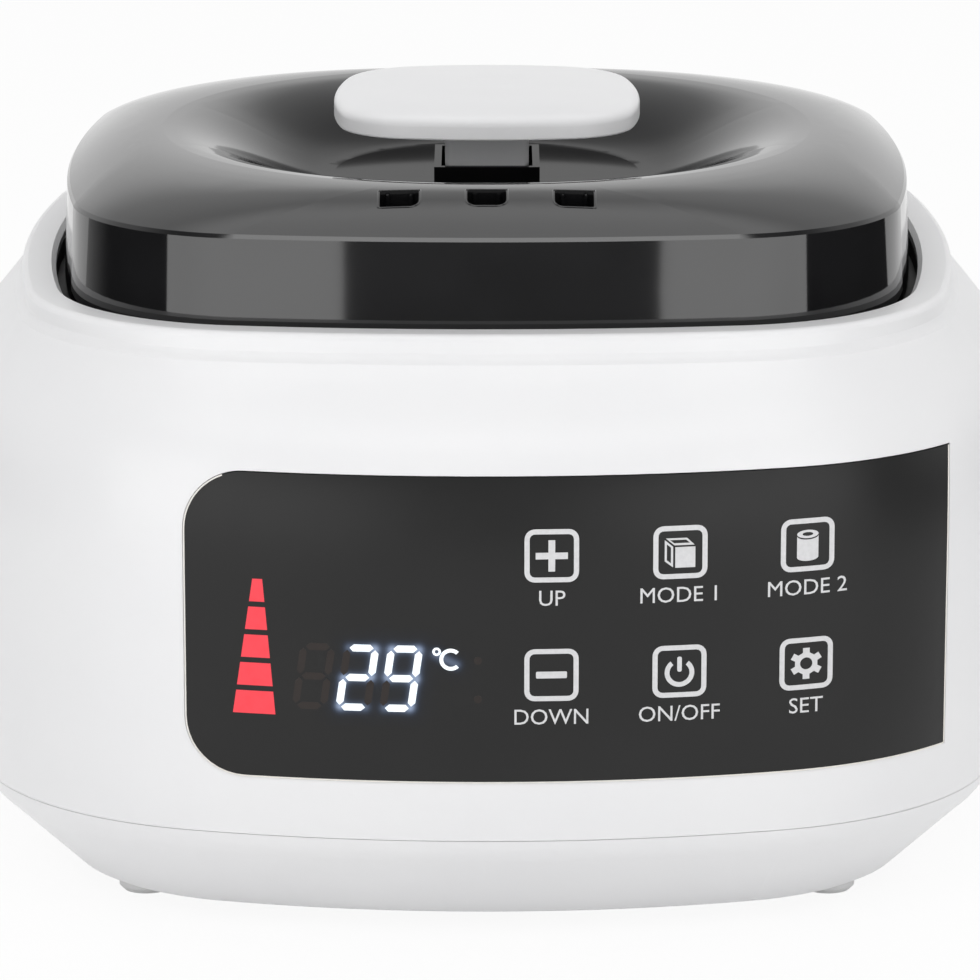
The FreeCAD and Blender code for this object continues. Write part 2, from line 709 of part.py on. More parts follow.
def led_display():
    """Three-digit readout module on two rows of pins."""
    low = DIGITS_LOW_Z
    back = DIGITS_FRONT + DIGITS_T
    pieces = [box(DIGITS_LEFT, DIGITS_LEFT + DIGITS_W, DIGITS_FRONT, back, low, low + DIGITS_H)]
    pitch = DIGITS_W / (DIGITS_PINS + 1)
    for row in (low + DIGITS_PIN_INSET, low + DIGITS_H - DIGITS_PIN_INSET):
        for count in range(DIGITS_PINS):
            x = DIGITS_LEFT + pitch * (count + 1)
            pieces.append(rod_y(DIGITS_PIN_R, back, BOARD_FRONT, x, row))
    return fuse(pieces)


def level_light_guide():
    """Light guide with bars that narrow towards the top."""
    top = GUIDE_LOW_Z + GUIDE_H
    guide = box(GUIDE_LEFT, GUIDE_LEFT + GUIDE_W, GUIDE_FRONT, BOARD_FRONT, GUIDE_LOW_Z, top)
    middle = GUIDE_LEFT + GUIDE_W / 2
    low_w = GUIDE_W - 2 * GUIDE_RAIL
    pitch = (GUIDE_H - GUIDE_BAR_GAP) / GUIDE_BARS
    slots = []
    for count in range(GUIDE_BARS):
        width = low_w + (GUIDE_BAR_TOP_W - low_w) * count / (GUIDE_BARS - 1)
        edge = middle - width / 2
        z = GUIDE_LOW_Z + GUIDE_BAR_GAP + pitch * count
        slots.append(box(edge, edge + width, GUIDE_FRONT, BOARD_FRONT, z, z + pitch - GUIDE_BAR_GAP))
    return cut_all(guide, slots)


def key_spots():
    """Middles (x, z) of the touch keys, row by row from below."""
    xs = [PANEL_LEFT + KEY_LEFT + KEY_PITCH * count for count in range(KEY_COLUMNS)]
    zs = [PANEL_LOW_Z + KEY_RISE + KEY_ROW_PITCH * count for count in range(KEY_ROWS)]
    return [(x, z) for z in zs for x in xs]


def touch_spring(x, z):
    """Contact sleeve from the board to the back of the wall behind one key."""
    front = front_of(WALL_BACK, x + KEY_SPRING_R)
    outer = rod_y(KEY_SPRING_R, front, BOARD_FRONT, x, z)
    return outer.cut(rod_y(KEY_SPRING_R - KEY_SPRING_T, front, BOARD_FRONT, x, z))


# Liner, well and pot

def round_spots(radius, count):
    """Evenly spaced places on a circle, starting on a diagonal."""
    turns = [math.pi * (2 * i + 1) / count for i in range(count)]
    return [(radius * math.cos(turn), radius * math.sin(turn)) for turn in turns]


def rim_liner():
    """Dark liner of the opening: wall under the lip, deck with a round hole, skirt and bosses."""
    wall = ring(inset(OPENING, -LINER_T), OPENING, DECK_LOW_Z, LIP_LOW_Z - FIT)
    deck = slab(inset(OPENING, -LINER_T - LINER_FLANGE), DECK_LOW_Z, DECK_Z)
    skirt = rod(DECK_HOLE_R + SKIRT_T, SKIRT_LOW_Z, DECK_LOW_Z)
    spots = round_spots(DECK_BOSS_SPOT, DECK_BOSSES)
    bosses = [rod(DECK_BOSS_R, SKIRT_LOW_Z, DECK_LOW_Z, x, y) for x, y in spots]
    holes = [rod(SCREW_R + THREAD, SKIRT_LOW_Z, SKIRT_LOW_Z + SCREW_BITE + THREAD, x, y) for x, y in spots]
    return cut_all(fuse([wall, deck, skirt] + bosses), [rod(DECK_HOLE_R, SKIRT_LOW_Z, DECK_Z)] + holes)


def well_outside(z):
    """Outer radius of the well's wall at a height."""
    share = (z - WELL_FLOOR_Z) / (SKIRT_LOW_Z - WELL_FLOOR_Z)
    return WELL_LOW_R + (WELL_TOP_R - WELL_LOW_R) * share + WELL_T


def heating_well():
    """Metal cup that the pot stands in, hung by its flange and lugs from the liner."""
    low_r = well_outside(WELL_LOW_Z)
    top_r = well_outside(SKIRT_LOW_Z)
    outer = tub(low_r, top_r, WELL_LOW_Z, SKIRT_LOW_Z, WELL_CORNER + WELL_T)
    inner = tub(WELL_LOW_R, WELL_TOP_R, WELL_FLOOR_Z, SKIRT_LOW_Z, WELL_CORNER)
    flange = [rod(WELL_FLANGE_R, SKIRT_LOW_Z - WELL_T, SKIRT_LOW_Z)]
    spots = round_spots(DECK_BOSS_SPOT, DECK_BOSSES)
    for x, y in spots:
        arm = box(0, DECK_BOSS_SPOT, -WELL_LUG_R, WELL_LUG_R, SKIRT_LOW_Z - WELL_T, SKIRT_LOW_Z)
        flange.append(placed(arm, MIDDLE, UP, math.degrees(math.atan2(y, x))))
        flange.append(rod(WELL_LUG_R, SKIRT_LOW_Z - WELL_T, SKIRT_LOW_Z, x, y))
    holes = [rod(SCREW_R + PLAY, SKIRT_LOW_Z - WELL_T, SKIRT_LOW_Z, x, y) for x, y in spots]
    return cut_all(fuse([outer] + flange), [inner] + holes)


def wax_pot():
    """Removable metal pot with a flange and two upright lifting ears."""
    low = WELL_FLOOR_Z + POT_FLOOR_GAP
    top = DECK_Z + POT_FLANGE_T
    low_r = WELL_LOW_R - POT_GAP
    top_r = WELL_TOP_R - POT_GAP
    outer = tub(low_r, top_r, low, top, WELL_CORNER)
    inner = tub(low_r - POT_T, top_r - POT_T, low + POT_T, top, WELL_CORNER - POT_T)
    pieces = [outer, rod(POT_FLANGE_R, DECK_Z, top)]
    for side in (-1, 1):
        ear = box(-EAR_T / 2, EAR_T / 2, -EAR_W / 2, EAR_W / 2, top - POT_FLANGE_T, top + EAR_H)
        crown = [edge for edge in ear.Edges if edge.BoundBox.ZMin > top and edge.BoundBox.YLength < EAR_T]
        ear = ear.makeFillet(EAR_ROUND, crown)
        pieces.append(placed(ear, V(side * (POT_FLANGE_R - EAR_INSET - EAR_T / 2), 0, 0)))
    return fuse(pieces).cut(inner)


# Heater and sensors

def sleeve(step, thick, low, high, degrees=360.0):
    """Tapered band that follows the well's wall, step away from it."""
    inner = [well_outside(z) + step for z in (low, high)]
    outer = Part.makeCone(inner[0] + thick, inner[1] + thick, high - low, V(0, 0, low), UP, degrees)
    return outer.cut(Part.makeCone(*inner, high - low, V(0, 0, low), UP))


def lug_spot():
    """Distance from the middle to the clamp screw in the heater's lugs."""
    return well_outside(LUG_Z) + HEATER_T + LUG_L / 2


def heater_band():
    """Split heater band with two clamp lugs at the back."""
    band = sleeve(GLUE, HEATER_T, HEATER_LOW_Z, HEATER_TOP_Z)
    half = LUG_GAP / 2
    reach = well_outside(LUG_Z) + HEATER_T + LUG_L
    lugs = [box(half, half + LUG_T, 0, reach, LUG_Z - LUG_H / 2, LUG_Z + LUG_H / 2),
            box(-half - LUG_T, -half, 0, reach, LUG_Z - LUG_H / 2, LUG_Z + LUG_H / 2)]
    core = Part.makeCone(well_outside(HEATER_LOW_Z) + GLUE, well_outside(HEATER_TOP_Z) + GLUE,
                         HEATER_TOP_Z - HEATER_LOW_Z, V(0, 0, HEATER_LOW_Z), UP)
    split = box(-half, half, 0, reach, HEATER_LOW_Z, HEATER_TOP_Z)
    hole = Part.makeCylinder(SCREW_R + PLAY, LUG_GAP + 2 * LUG_T, V(-half - LUG_T, lug_spot(), LUG_Z), RIGHT)
    return cut_all(fuse([band] + lugs), [core, split, hole])


def insulation_wrap():
    """Insulating wrap outside the heater, open at the lugs."""
    low = HEATER_LOW_Z - WRAP_PAST
    high = HEATER_TOP_Z + WRAP_OVER
    wrap = sleeve(HEATER_T + 2 * GLUE, WRAP_T, low, high, 360 - WRAP_OPEN)
    return placed(wrap, MIDDLE, UP, 90 + WRAP_OPEN / 2)


def thermistor():
    """Disc sensor pressed on the underside of the well."""
    return rod(SENSOR_R, WELL_LOW_Z - SENSOR_H, WELL_LOW_Z)


def thermal_fuse():
    """Fuse in its sleeve, lying under the well's floor."""
    return rod_y(FUSE_R, -FUSE_L / 2, FUSE_L / 2, FUSE_X, WELL_LOW_Z - FUSE_R - GLUE)


def lead_drops():
    """Places (x, y) where the leads run down past the shield."""
    drops = [(side * HEATER_LEAD_X, lug_spot()) for side in (-1, 1)]
    return drops + [(side * PIN_PITCH / 2, INLET_TAIL - INLET_LEAD_RUN) for side in (-1, 1)]


def heat_shield():
    """Metal disc between the well and the electronics, held on the base's post tips, clear of the leads."""
    disc = rod(SHIELD_R, SHIELD_Z, SHIELD_Z + SHIELD_T)
    holes = [rod(SHIELD_TIP_R + FIT, SHIELD_Z, SHIELD_Z + SHIELD_T, sx * SHIELD_POST_X, sy * SHIELD_POST_Y)
             for sx, sy in QUARTERS]
    notch = LEAD_R + LEAD_GAP
    for x, y in lead_drops():
        holes.append(rod(notch, SHIELD_Z, SHIELD_Z + SHIELD_T, x, y))
        holes.append(box(x - notch, x + notch, y, y + SHIELD_R, SHIELD_Z, SHIELD_Z + SHIELD_T))
    return cut_all(disc, holes + [rod(SHIELD_HOLE_R, SHIELD_Z, SHIELD_Z + SHIELD_T)])


# Electronics in the base

def main_board():
    """Power board on the base's standoffs."""
    board = box(-MAIN_HALF_X, MAIN_HALF_X, MAIN_FRONT, MAIN_BACK, MAIN_Z, MAIN_TOP_Z)
    return cut_all(board, [rod(SCREW_R + PLAY, MAIN_Z, MAIN_TOP_Z, x, y) for x, y in main_spots()])


def transformer():
    """Wound block with its core standing out at both ends."""
    core_size = (COIL_CORE_W, COIL_SIZE[1] + 2 * COIL_CORE_OUT, COIL_SIZE[2] - COIL_CORE_OUT)
    return fuse([block(COIL_SIZE, COIL_SPOT, MAIN_TOP_Z), block(core_size, COIL_SPOT, MAIN_TOP_Z)])


def power_inlet():
    """Two-pole socket set into the back wall, with a flange inside the wall."""
    body_block = box(-INLET_W / 2, INLET_W / 2, INLET_BACK, INLET_FRONT,
                     INLET_Z - INLET_H / 2, INLET_Z + INLET_H / 2)
    seat = INLET_FRONT + INLET_FACE - WALL - INLET_SEAT
    half_w = INLET_W / 2 + INLET_FLANGE
    half_h = INLET_H / 2 + INLET_FLANGE
    flange = box(-half_w, half_w, seat - INLET_FLANGE_T, seat, INLET_Z - half_h, INLET_Z + half_h)
    floor = INLET_FRONT - SOCKET_DEPTH
    half = PIN_PITCH / 2
    cuts = [rod_y(SOCKET_R, floor, INLET_FRONT, x, INLET_Z) for x in (-half, half)]
    cuts.append(box(-half, half, floor, INLET_FRONT, INLET_Z - SOCKET_R, INLET_Z + SOCKET_R))
    cuts += [rod_y(INLET_PIN_R, INLET_BACK, floor, x, INLET_Z) for x in (-half, half)]
    return cut_all(fuse([body_block, flange]), cuts)


def inlet_pin(x):
    """Contact pin through the socket's floor."""
    floor = INLET_FRONT - SOCKET_DEPTH
    return rod_y(INLET_PIN_R, INLET_TAIL, floor + INLET_PIN_OUT, x, INLET_Z)


def inlet_lead(side):
    """Lead from an inlet pin down to the terminal block."""
    x = side * PIN_PITCH / 2
    y = INLET_TAIL - INLET_LEAD_RUN
    low = MAIN_TOP_Z + INLET_LEAD_RISE
    end = TERMINAL_SPOT[1] + TERMINAL_D / 2
    return wire_along([V(x, INLET_TAIL, INLET_Z), V(x, y, INLET_Z), V(x, y, low), V(x, end, low)])


def heater_lead(side):
    """Lead from a heater lug down to the terminal block."""
    start = side * (LUG_GAP / 2 + LUG_T)
    x = side * HEATER_LEAD_X
    y = lug_spot()
    z = LUG_Z - LUG_H / 2 + 2 * LEAD_R
    low = MAIN_TOP_Z + HEATER_LEAD_RISE
    end = TERMINAL_SPOT[1] + TERMINAL_D / 2
    return wire_along([V(start, y, z), V(x, y, z), V(x, y, low), V(x, end, low)])


def display_ribbon():
    """Flat cable from the back of the display board to the main board."""
    y = BOARD_FRONT + BOARD_T + RIBBON_T / 2
    end = MAIN_FRONT + RIBBON_IN
    run_z = MAIN_TOP_Z + RIBBON_OVER
    points = [V(0, y, BOARD_LOW_Z + RIBBON_RISE), V(0, y, run_z), V(0, end, run_z), V(0, end, MAIN_TOP_Z)]
    half_w = RIBBON_W / 2
    half_t = RIBBON_T / 2
    corners = [points[0] + V(sx * half_w, sy * half_t, 0) for sx, sy in QUARTERS]
    profile = Part.makePolygon(corners + corners[:1])
    return route(points, RIBBON_BEND).makePipeShell([profile], True, False)


# Lid and handle

def dish_shape(half):
    """Nearly round outline of the lid's dish."""
    return (half, half * CREST_SIDE, half * CREST_CORNER)


def dome(step):
    """Lid's outside without its dish: drafted wall, small bevel and crown, moved inwards by step."""
    wall_z = LID_CREASE_Z - LID_BEVEL - step
    bevel_z = LID_CREASE_Z + LID_BEVEL / 2 - step
    bevel = inset(CREASE, LID_BEVEL)
    wall = loft([(inset(LID, step), LID_LOW_Z), (inset(CREASE, step), wall_z)], True)
    edge = loft([(inset(CREASE, step), wall_z), (inset(bevel, step), bevel_z)], True)
    rows = []
    for count in range(CROWN_STEPS + 1):
        share = count / CROWN_STEPS
        rise = CREST_Z - step - bevel_z
        z = CREST_Z - step - rise * (1 - share) ** 2
        rows.append((inset(blend(bevel, dish_shape(CREST_HALF), share), step), z))
    return fuse([wall, edge, loft(rows)])


def dish(step):
    """Solid that hollows the lid's top, grown outwards by step."""
    rows = []
    for count in range(CROWN_STEPS + 1):
        share = count / CROWN_STEPS
        half = CREST_HALF + (DISH_FLOOR_HALF - CREST_HALF) * share
        sink = (CREST_Z - DISH_FLOOR_Z) * math.sin(share * math.pi / 2) ** 2
        rows.append((dish_shape(half + step), CREST_Z - step - sink))
    return loft(rows)


def vent(x, left_r, right_r):
    """Steam slot with a straight back edge and rounded front corners."""
    left = x - VENT_W / 2
    right = x + VENT_W / 2
    front = VENT_Y - VENT_L / 2
    back = VENT_Y + VENT_L / 2
    low = LID_CREASE_Z - LID_WALL
    left_tuck = left_r * (1 - math.sqrt(0.5))
    right_tuck = right_r * (1 - math.sqrt(0.5))
    a, b = V(left, back, low), V(right, back, low)
    c, d = V(right, front + right_r, low), V(right - right_r, front, low)
    e, f = V(left + left_r, front, low), V(left, front + left_r, low)
    edges = [
        Part.makeLine(a, b),
        Part.makeLine(b, c),
        Part.Arc(c, V(right - right_tuck, front + right_tuck, low), d).toShape(),
        Part.makeLine(d, e),
        Part.Arc(e, V(left + left_tuck, front + left_tuck, low), f).toShape(),
        Part.makeLine(f, a),
    ]
    return Part.Face(Part.Wire(edges)).extrude(UP * (CREST_Z - low))


def vents():
    """Row of slots: the outer two are rounded only on the side towards the middle."""
    return [vent(-VENT_PITCH, VENT_SHARP, VENT_ROUND), vent(0, VENT_ROUND, VENT_ROUND),
            vent(VENT_PITCH, VENT_ROUND, VENT_SHARP)]


def lid_shell():
    """Black lid: wall, crown, dish with the handle's raised pocket, steam slots and locating skirt."""
    shell = dome(0).cut(dish(0)).cut(dome(LID_WALL).cut(dish(LID_WALL)))
    skirt_shape = inset(LID, LID_SKIRT_INSET)
    skirt = ring(skirt_shape, inset(skirt_shape, LID_SKIRT_T), DECK_Z, LID_LOW_Z + LID_SKIRT_ROOT)
    half_w = POCKET_W / 2
    half_l = POCKET_L / 2
    boss = box(-half_w - POCKET_WALL, half_w + POCKET_WALL, -half_l - POCKET_WALL, half_l + POCKET_WALL,
               POCKET_LOW_Z, POCKET_TOP_Z)
    pocket = box(-half_w, half_w, -half_l, half_l, POCKET_FLOOR_Z, POCKET_TOP_Z)
    hole = rod(SCREW_R + PLAY, POCKET_LOW_Z, POCKET_FLOOR_Z)
    return cut_all(fuse([shell, skirt, boss]), [pocket, hole] + vents())


def lid_handle():
    """White handle: pillow-shaped plate on a square pillar."""
    plate = (HANDLE_HALF, HANDLE_SIDE_R, HANDLE_CORNER_R)
    tuck = HANDLE_EDGE * (1 - math.sqrt(0.5))
    edge_z = HANDLE_LOW_Z + HANDLE_EDGE
    rim_z = HANDLE_LOW_Z + HANDLE_RIM
    edge = loft([(inset(plate, HANDLE_EDGE), HANDLE_LOW_Z), (inset(plate, tuck), HANDLE_LOW_Z + tuck),
                 (plate, edge_z)])
    rows = []
    for count in range(HANDLE_STEPS + 1):
        turn = HANDLE_CAP * math.pi / 2 * count / HANDLE_STEPS
        share = math.cos(turn) ** (2 / HANDLE_POWER)
        z = rim_z + HANDLE_DOME * math.sin(turn) ** (2 / HANDLE_POWER)
        rows.append((tuple(size * share for size in plate), z))
    half = PILLAR_W / 2
    pillar = box(-half, half, -half, half, POCKET_FLOOR_Z, edge_z)
    upright = [side for side in pillar.Edges if side.BoundBox.ZLength > PILLAR_ROUND]
    pillar = pillar.makeFillet(PILLAR_ROUND, upright)
    hole = rod(SCREW_R + THREAD, POCKET_FLOOR_Z, POCKET_LOW_Z + HANDLE_SCREW_L + THREAD)
    return fuse([edge, slab(plate, edge_z, rim_z), loft(rows), pillar]).cut(hole)


def pieces():
    """Every piece by name, in place."""
    made = {
        "upper_housing": upper_housing(),
        "base_cover": base_cover(),
        "control_panel": control_panel(),
        "display_board": display_board(),
        "led_display": led_display(),
        "level_light_guide": level_light_guide(),
        "rim_liner": rim_liner(),
        "heating_well": heating_well(),
        "heater_band": heater_band(),
        "insulation_wrap": insulation_wrap(),
        "thermistor": thermistor(),
        "thermistor_lead": rod(SENSOR_LEAD_R, MAIN_TOP_Z, WELL_LOW_Z - SENSOR_H),
        "thermal_fuse": thermal_fuse(),
        "heat_shield": heat_shield(),
        "main_board": main_board(),
        "relay": block(RELAY_SIZE, RELAY_SPOT, MAIN_TOP_Z),
        "transformer": transformer(),
        "capacitor": rod(CAP_R, MAIN_TOP_Z, SHIELD_Z - CAP_AIR, *CAP_SPOT),
        "terminal_block": block(TERMINAL_SIZE, TERMINAL_SPOT, MAIN_TOP_Z),
        "power_inlet": power_inlet(),
        "display_ribbon": display_ribbon(),
        "wax_pot": wax_pot(),
        "lid_shell": lid_shell(),
        "lid_handle": lid_handle(),
        "lid_handle_screw": placed(screw(HANDLE_SCREW_L), V(0, 0, POCKET_LOW_Z)),
    }
    clamp_start = -LUG_GAP / 2 - LUG_T
    clamp_length = LUG_GAP + 3 * LUG_T
    made["band_clamp_screw"] = placed(screw(clamp_length), V(clamp_start, lug_spot(), LUG_Z), BACK, 90)
    for count, (sx, sy) in enumerate(QUARTERS, 1):
        spot = V(sx * CORNER_X, sy * CORNER_Y, 0)
        made[f"rubber_foot_{count}"] = placed(rubber_foot(), spot)
        made[f"base_screw_{count}"] = placed(screw(BASE_SCREW_L), spot + V(0, 0, BASE_SCREW_Z))
    for count, (x, z) in enumerate(board_spots(), 1):
        seat = V(x, BOARD_FRONT + BOARD_T, z)
        made[f"display_screw_{count}"] = placed(screw(BOARD_T + SCREW_BITE), seat, RIGHT, 90)
    for count, (x, z) in enumerate(key_spots(), 1):
        made[f"touch_spring_{count}"] = touch_spring(x, z)
    for count, (x, y) in enumerate(round_spots(DECK_BOSS_SPOT, DECK_BOSSES), 1):
        made[f"well_screw_{count}"] = placed(screw(WELL_T + SCREW_BITE), V(x, y, SKIRT_LOW_Z - WELL_T))
    for count, (x, y) in enumerate(main_spots(), 1):
        made[f"main_screw_{count}"] = placed(screw(BOARD_T + SCREW_BITE), V(x, y, MAIN_TOP_Z), RIGHT, 180)
    for count, side in enumerate((-1, 1), 1):
        made[f"inlet_pin_{count}"] = inlet_pin(side * PIN_PITCH / 2)
        made[f"inlet_lead_{count}"] = inlet_lead(side)
        made[f"heater_lead_{count}"] = heater_lead(side)
    return made


os.makedirs("parts", exist_ok=True)
for name, shape in pieces().items():
    shape.exportStep(f"parts/{name}.step")
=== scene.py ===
"""Looks of a countertop wax warmer: finishes, printed panel, glowing readout, studio and camera."""

import json
import logging
import math
from dataclasses import dataclass
from enum import Enum
from typing import Any, Callable, Mapping, Sequence

import bmesh
import bpy
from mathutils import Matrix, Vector


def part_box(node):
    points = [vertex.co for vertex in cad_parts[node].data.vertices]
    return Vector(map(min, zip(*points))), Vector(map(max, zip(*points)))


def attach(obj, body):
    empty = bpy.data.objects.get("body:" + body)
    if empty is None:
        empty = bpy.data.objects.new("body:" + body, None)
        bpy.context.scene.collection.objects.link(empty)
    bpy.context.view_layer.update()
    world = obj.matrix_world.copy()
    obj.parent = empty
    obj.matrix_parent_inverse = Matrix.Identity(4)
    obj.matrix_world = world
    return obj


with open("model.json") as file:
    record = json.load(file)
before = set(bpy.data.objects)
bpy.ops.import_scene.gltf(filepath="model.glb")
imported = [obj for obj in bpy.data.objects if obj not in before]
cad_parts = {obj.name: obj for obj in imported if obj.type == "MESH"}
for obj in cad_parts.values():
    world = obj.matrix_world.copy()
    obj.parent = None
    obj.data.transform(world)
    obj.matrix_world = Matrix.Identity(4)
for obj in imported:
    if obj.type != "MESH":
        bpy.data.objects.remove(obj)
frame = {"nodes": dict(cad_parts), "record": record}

LOG = logging.getLogger("warmer")
MM = 0.001
MERGE = 1e-7        # metres; points nearer than this are one
SLIVER = 2e-6       # metres; edges shorter than this are dissolved
CUT = 1e-8          # metres; points nearer than this lie on a slice
RAY_START = 1.0     # metres; where laying starts, well outside the object
RAY_REACH = 2.0     # metres; how far it looks for the surface
TYPE_STEPS = 3      # steps in each curve of a letter
NOISE_MIDDLE = 0.5  # middle of a noise that runs from 0 to 1
Loop = list[tuple[float, float]]
Colour = tuple[float, float, float]
Span = tuple[float, float]
Piece = bpy.types.Object
Mesh = bpy.types.Mesh
Material = bpy.types.Material
SOCKETS = {
    float: "NodeSocketFloat",
    Piece: "NodeSocketObject",
    Material: "NodeSocketMaterial",
}


class Body(Enum):
    """The rigid bodies that added pieces ride on."""

    HOUSING = "housing"
    LID = "lid"


class Seg(Enum):
    """Bars of a seven-bar figure, each from one corner point to another."""

    TOP = ((0, 2), (1, 2))
    UPPER_RIGHT = ((1, 2), (1, 1))
    LOWER_RIGHT = ((1, 1), (1, 0))
    BOTTOM = ((0, 0), (1, 0))
    LOWER_LEFT = ((0, 1), (0, 0))
    UPPER_LEFT = ((0, 2), (0, 1))
    MIDDLE = ((0, 1), (1, 1))


class Facing(Enum):
    """Sides from which a flat shape is dropped onto a surface."""

    FRONT = "front"
    TOP = "top"
    AROUND = "around"


class Graph:
    """A node tree, and the one way that nodes are added to it."""

    def __init__(self, tree: bpy.types.NodeTree) -> None:
        """Keeps the tree and empties it."""
        self.tree = tree
        tree.nodes.clear()

    def node(self, kind: str, settings: Mapping[str, Any] | None = None,
             sockets: Mapping[Any, Any] | None = None) -> bpy.types.Node:
        """Adds one node.

        Args:
            kind: Type name of the node.
            settings: Properties, set before the sockets.
            sockets: Values or links by socket name or index.

        Returns:
            The new node.
        """
        made = self.tree.nodes.new(kind)
        for name, value in (settings or {}).items():
            setattr(made, name, value)
        for key, value in (sockets or {}).items():
            if isinstance(value, Val):
                self.tree.links.new(value.socket, made.inputs[key])
            else:
                made.inputs[key].default_value = value
        return made

    def val(self, kind: str, settings: Mapping[str, Any] | None = None,
            sockets: Mapping[Any, Any] | None = None, out: Any = 0) -> "Val":
        """Adds one node and gives its output of this name or index."""
        return Val(self, self.node(kind, settings, sockets).outputs[out])


class Val:
    """A socket that can be used in Python expressions."""

    def __init__(self, graph: Graph, socket: bpy.types.NodeSocket) -> None:
        """Wraps an output socket of a graph."""
        self.graph = graph
        self.socket = socket

    def _math(self, operation: str, first: Any, second: Any = 0.0) -> "Val":
        """Adds a Math node on two values."""
        return self.graph.val("ShaderNodeMath", {"operation": operation}, {0: first, 1: second})

    def __add__(self, other: Any) -> "Val":
        """Sum."""
        return self._math("ADD", self, other)

    def __radd__(self, other: Any) -> "Val":
        """Sum, the other way round."""
        return self._math("ADD", other, self)

    def __sub__(self, other: Any) -> "Val":
        """Difference."""
        return self._math("SUBTRACT", self, other)

    def __rsub__(self, other: Any) -> "Val":
        """Difference, the other way round."""
        return self._math("SUBTRACT", other, self)

    def __mul__(self, other: Any) -> "Val":
        """Product."""
        return self._math("MULTIPLY", self, other)

    def __rmul__(self, other: Any) -> "Val":
        """Product, the other way round."""
        return self._math("MULTIPLY", other, self)

    def root(self) -> "Val":
        """Square root."""
        return self._math("SQRT", self)

    def smooth(self, low: float, high: float) -> "Val":
        """Soft step from 0 at low to 1 at high."""
        settings = {"interpolation_type": "SMOOTHSTEP"}
        return self.graph.val("ShaderNodeMapRange", settings, {0: self, 1: low, 2: high, 3: 0.0, 4: 1.0})

    def between(self, first: Colour, second: Colour) -> "Val":
        """Colour mixed by this value, from the first at 0 to the second at 1."""
        sockets = {0: self, 6: (*first, 1.0), 7: (*second, 1.0)}
        return self.graph.val("ShaderNodeMix", {"data_type": "RGBA"}, sockets, 2)

    def parts(self) -> tuple["Val", "Val", "Val"]:
        """The three parts of a vector."""
        node = self.graph.node("ShaderNodeSeparateXYZ", {}, {0: self})
        return tuple(Val(self.graph, out) for out in node.outputs)


@dataclass(frozen=True)
class Finish:
    """Base of the finishes: a named material with a Principled shader."""

    name: str
    colour: Colour
    rough: float

    def sockets(self, graph: Graph) -> dict[str, Any]:
        """Values and links of the shader; each finish has its own."""
        raise NotImplementedError

    def make(self) -> Material:
        """Builds the material.

        Returns:
            The material.
        """
        material = bpy.data.materials.new(self.name)
        material.use_nodes = True
        graph = Graph(material.node_tree)
        shader = graph.val("ShaderNodeBsdfPrincipled", {}, self.sockets(graph), "BSDF")
        graph.node("ShaderNodeOutputMaterial", {}, {"Surface": shader})
        return material

    def toned(self, share: float) -> Colour:
        """The colour, made paler or darker by a share."""
        return tuple(share * part for part in self.colour)

    @staticmethod
    def noise(graph: Graph, size_mm: float, detail: float = 2.0, where: Val | None = None) -> Val:
        """Noise from 0 to 1.

        Args:
            graph: Node graph of the material.
            size_mm: Size of the grain.
            detail: Octaves.
            where: Coordinates to read instead of Object coordinates.

        Returns:
            The noise.
        """
        place = where or graph.val("ShaderNodeTexCoord", {}, {}, "Object")
        sockets = {"Vector": place, "Scale": 1.0 / (size_mm * MM), "Detail": detail}
        return graph.val("ShaderNodeTexNoise", {}, sockets, "Fac")

    @staticmethod
    def bump(graph: Graph, height: Val, depth_mm: float) -> Val:
        """Normal of a relief of this depth, from a height of 0 to 1."""
        sockets = {"Height": height, "Distance": depth_mm * MM, "Strength": 1.0}
        return graph.val("ShaderNodeBump", {}, sockets, "Normal")


@dataclass(frozen=True)
class Moulded(Finish):
    """Moulded plastic: fine grain, and a slow change of colour and gloss."""

    shade: Colour = (0.0, 0.0, 0.0)
    cloud_mm: float = 30.0
    cloud_span: Span = (0.3, 0.7)
    rough_mm: float = 6.0
    rough_detail: float = 4.0
    rough_swing: float = 0.05
    grain_mm: float = 0.5
    grain_detail: float = 3.0
    grain_depth_mm: float = 0.004
    gloss: float = 0.5

    def sockets(self, graph: Graph) -> dict[str, Any]:
        """Values and links of the shader.

        Args:
            graph: Node graph of the material.

        Returns:
            The shader's sockets by name.
        """
        cloud = self.noise(graph, self.cloud_mm)
        polish = self.noise(graph, self.rough_mm, self.rough_detail)
        grain = self.noise(graph, self.grain_mm, self.grain_detail)
        return {
            "Base Color": cloud.smooth(*self.cloud_span).between(self.colour, self.shade),
            "Roughness": self.rough + (polish - NOISE_MIDDLE) * self.rough_swing,
            "Normal": self.bump(graph, grain, self.grain_depth_mm),
            "Specular IOR Level": self.gloss,
        }


@dataclass(frozen=True)
class Lacquered(Finish):
    """Black plastic under a clear coat whose weight is cut in the middle of the lid as painted shade, a
    darker reflection in the dish.
    """

    # coat weight left in the dish: painted shade, a weaker reflection there than on the crown
    dish_shade_coat: float = 0.33
    inner_mm: float = 34.0
    outer_mm: float = 58.0
    coat_ior: float = 1.7
    cloud_mm: float = 20.0
    cloud_span: Span = (0.3, 0.7)
    cloud_tone: float = 1.4
    cloud_rough: float = 0.2

    def sockets(self, graph: Graph) -> dict[str, Any]:
        """Values and links of the shader.

        Args:
            graph: Node graph of the material.

        Returns:
            The shader's sockets by name.
        """
        x, y, _ = graph.val("ShaderNodeTexCoord", {}, {}, "Object").parts()
        out = (x * x * x * x + y * y * y * y).root().root()
        cloud = self.noise(graph, self.cloud_mm)
        # painted shade: the coat weight falls from the crown into the dish, so the dish reflects less than
        # its lighting gives
        full = out.smooth(self.inner_mm * MM, self.outer_mm * MM)
        return {
            "Base Color": cloud.smooth(*self.cloud_span).between(self.colour, self.toned(self.cloud_tone)),
            "Roughness": self.rough + cloud * self.cloud_rough,
            "Specular IOR Level": 0.0,
            "Coat Weight": self.dish_shade_coat + full * (1.0 - self.dish_shade_coat),
            "Coat Roughness": self.rough,
            "Coat IOR": self.coat_ior,
        }


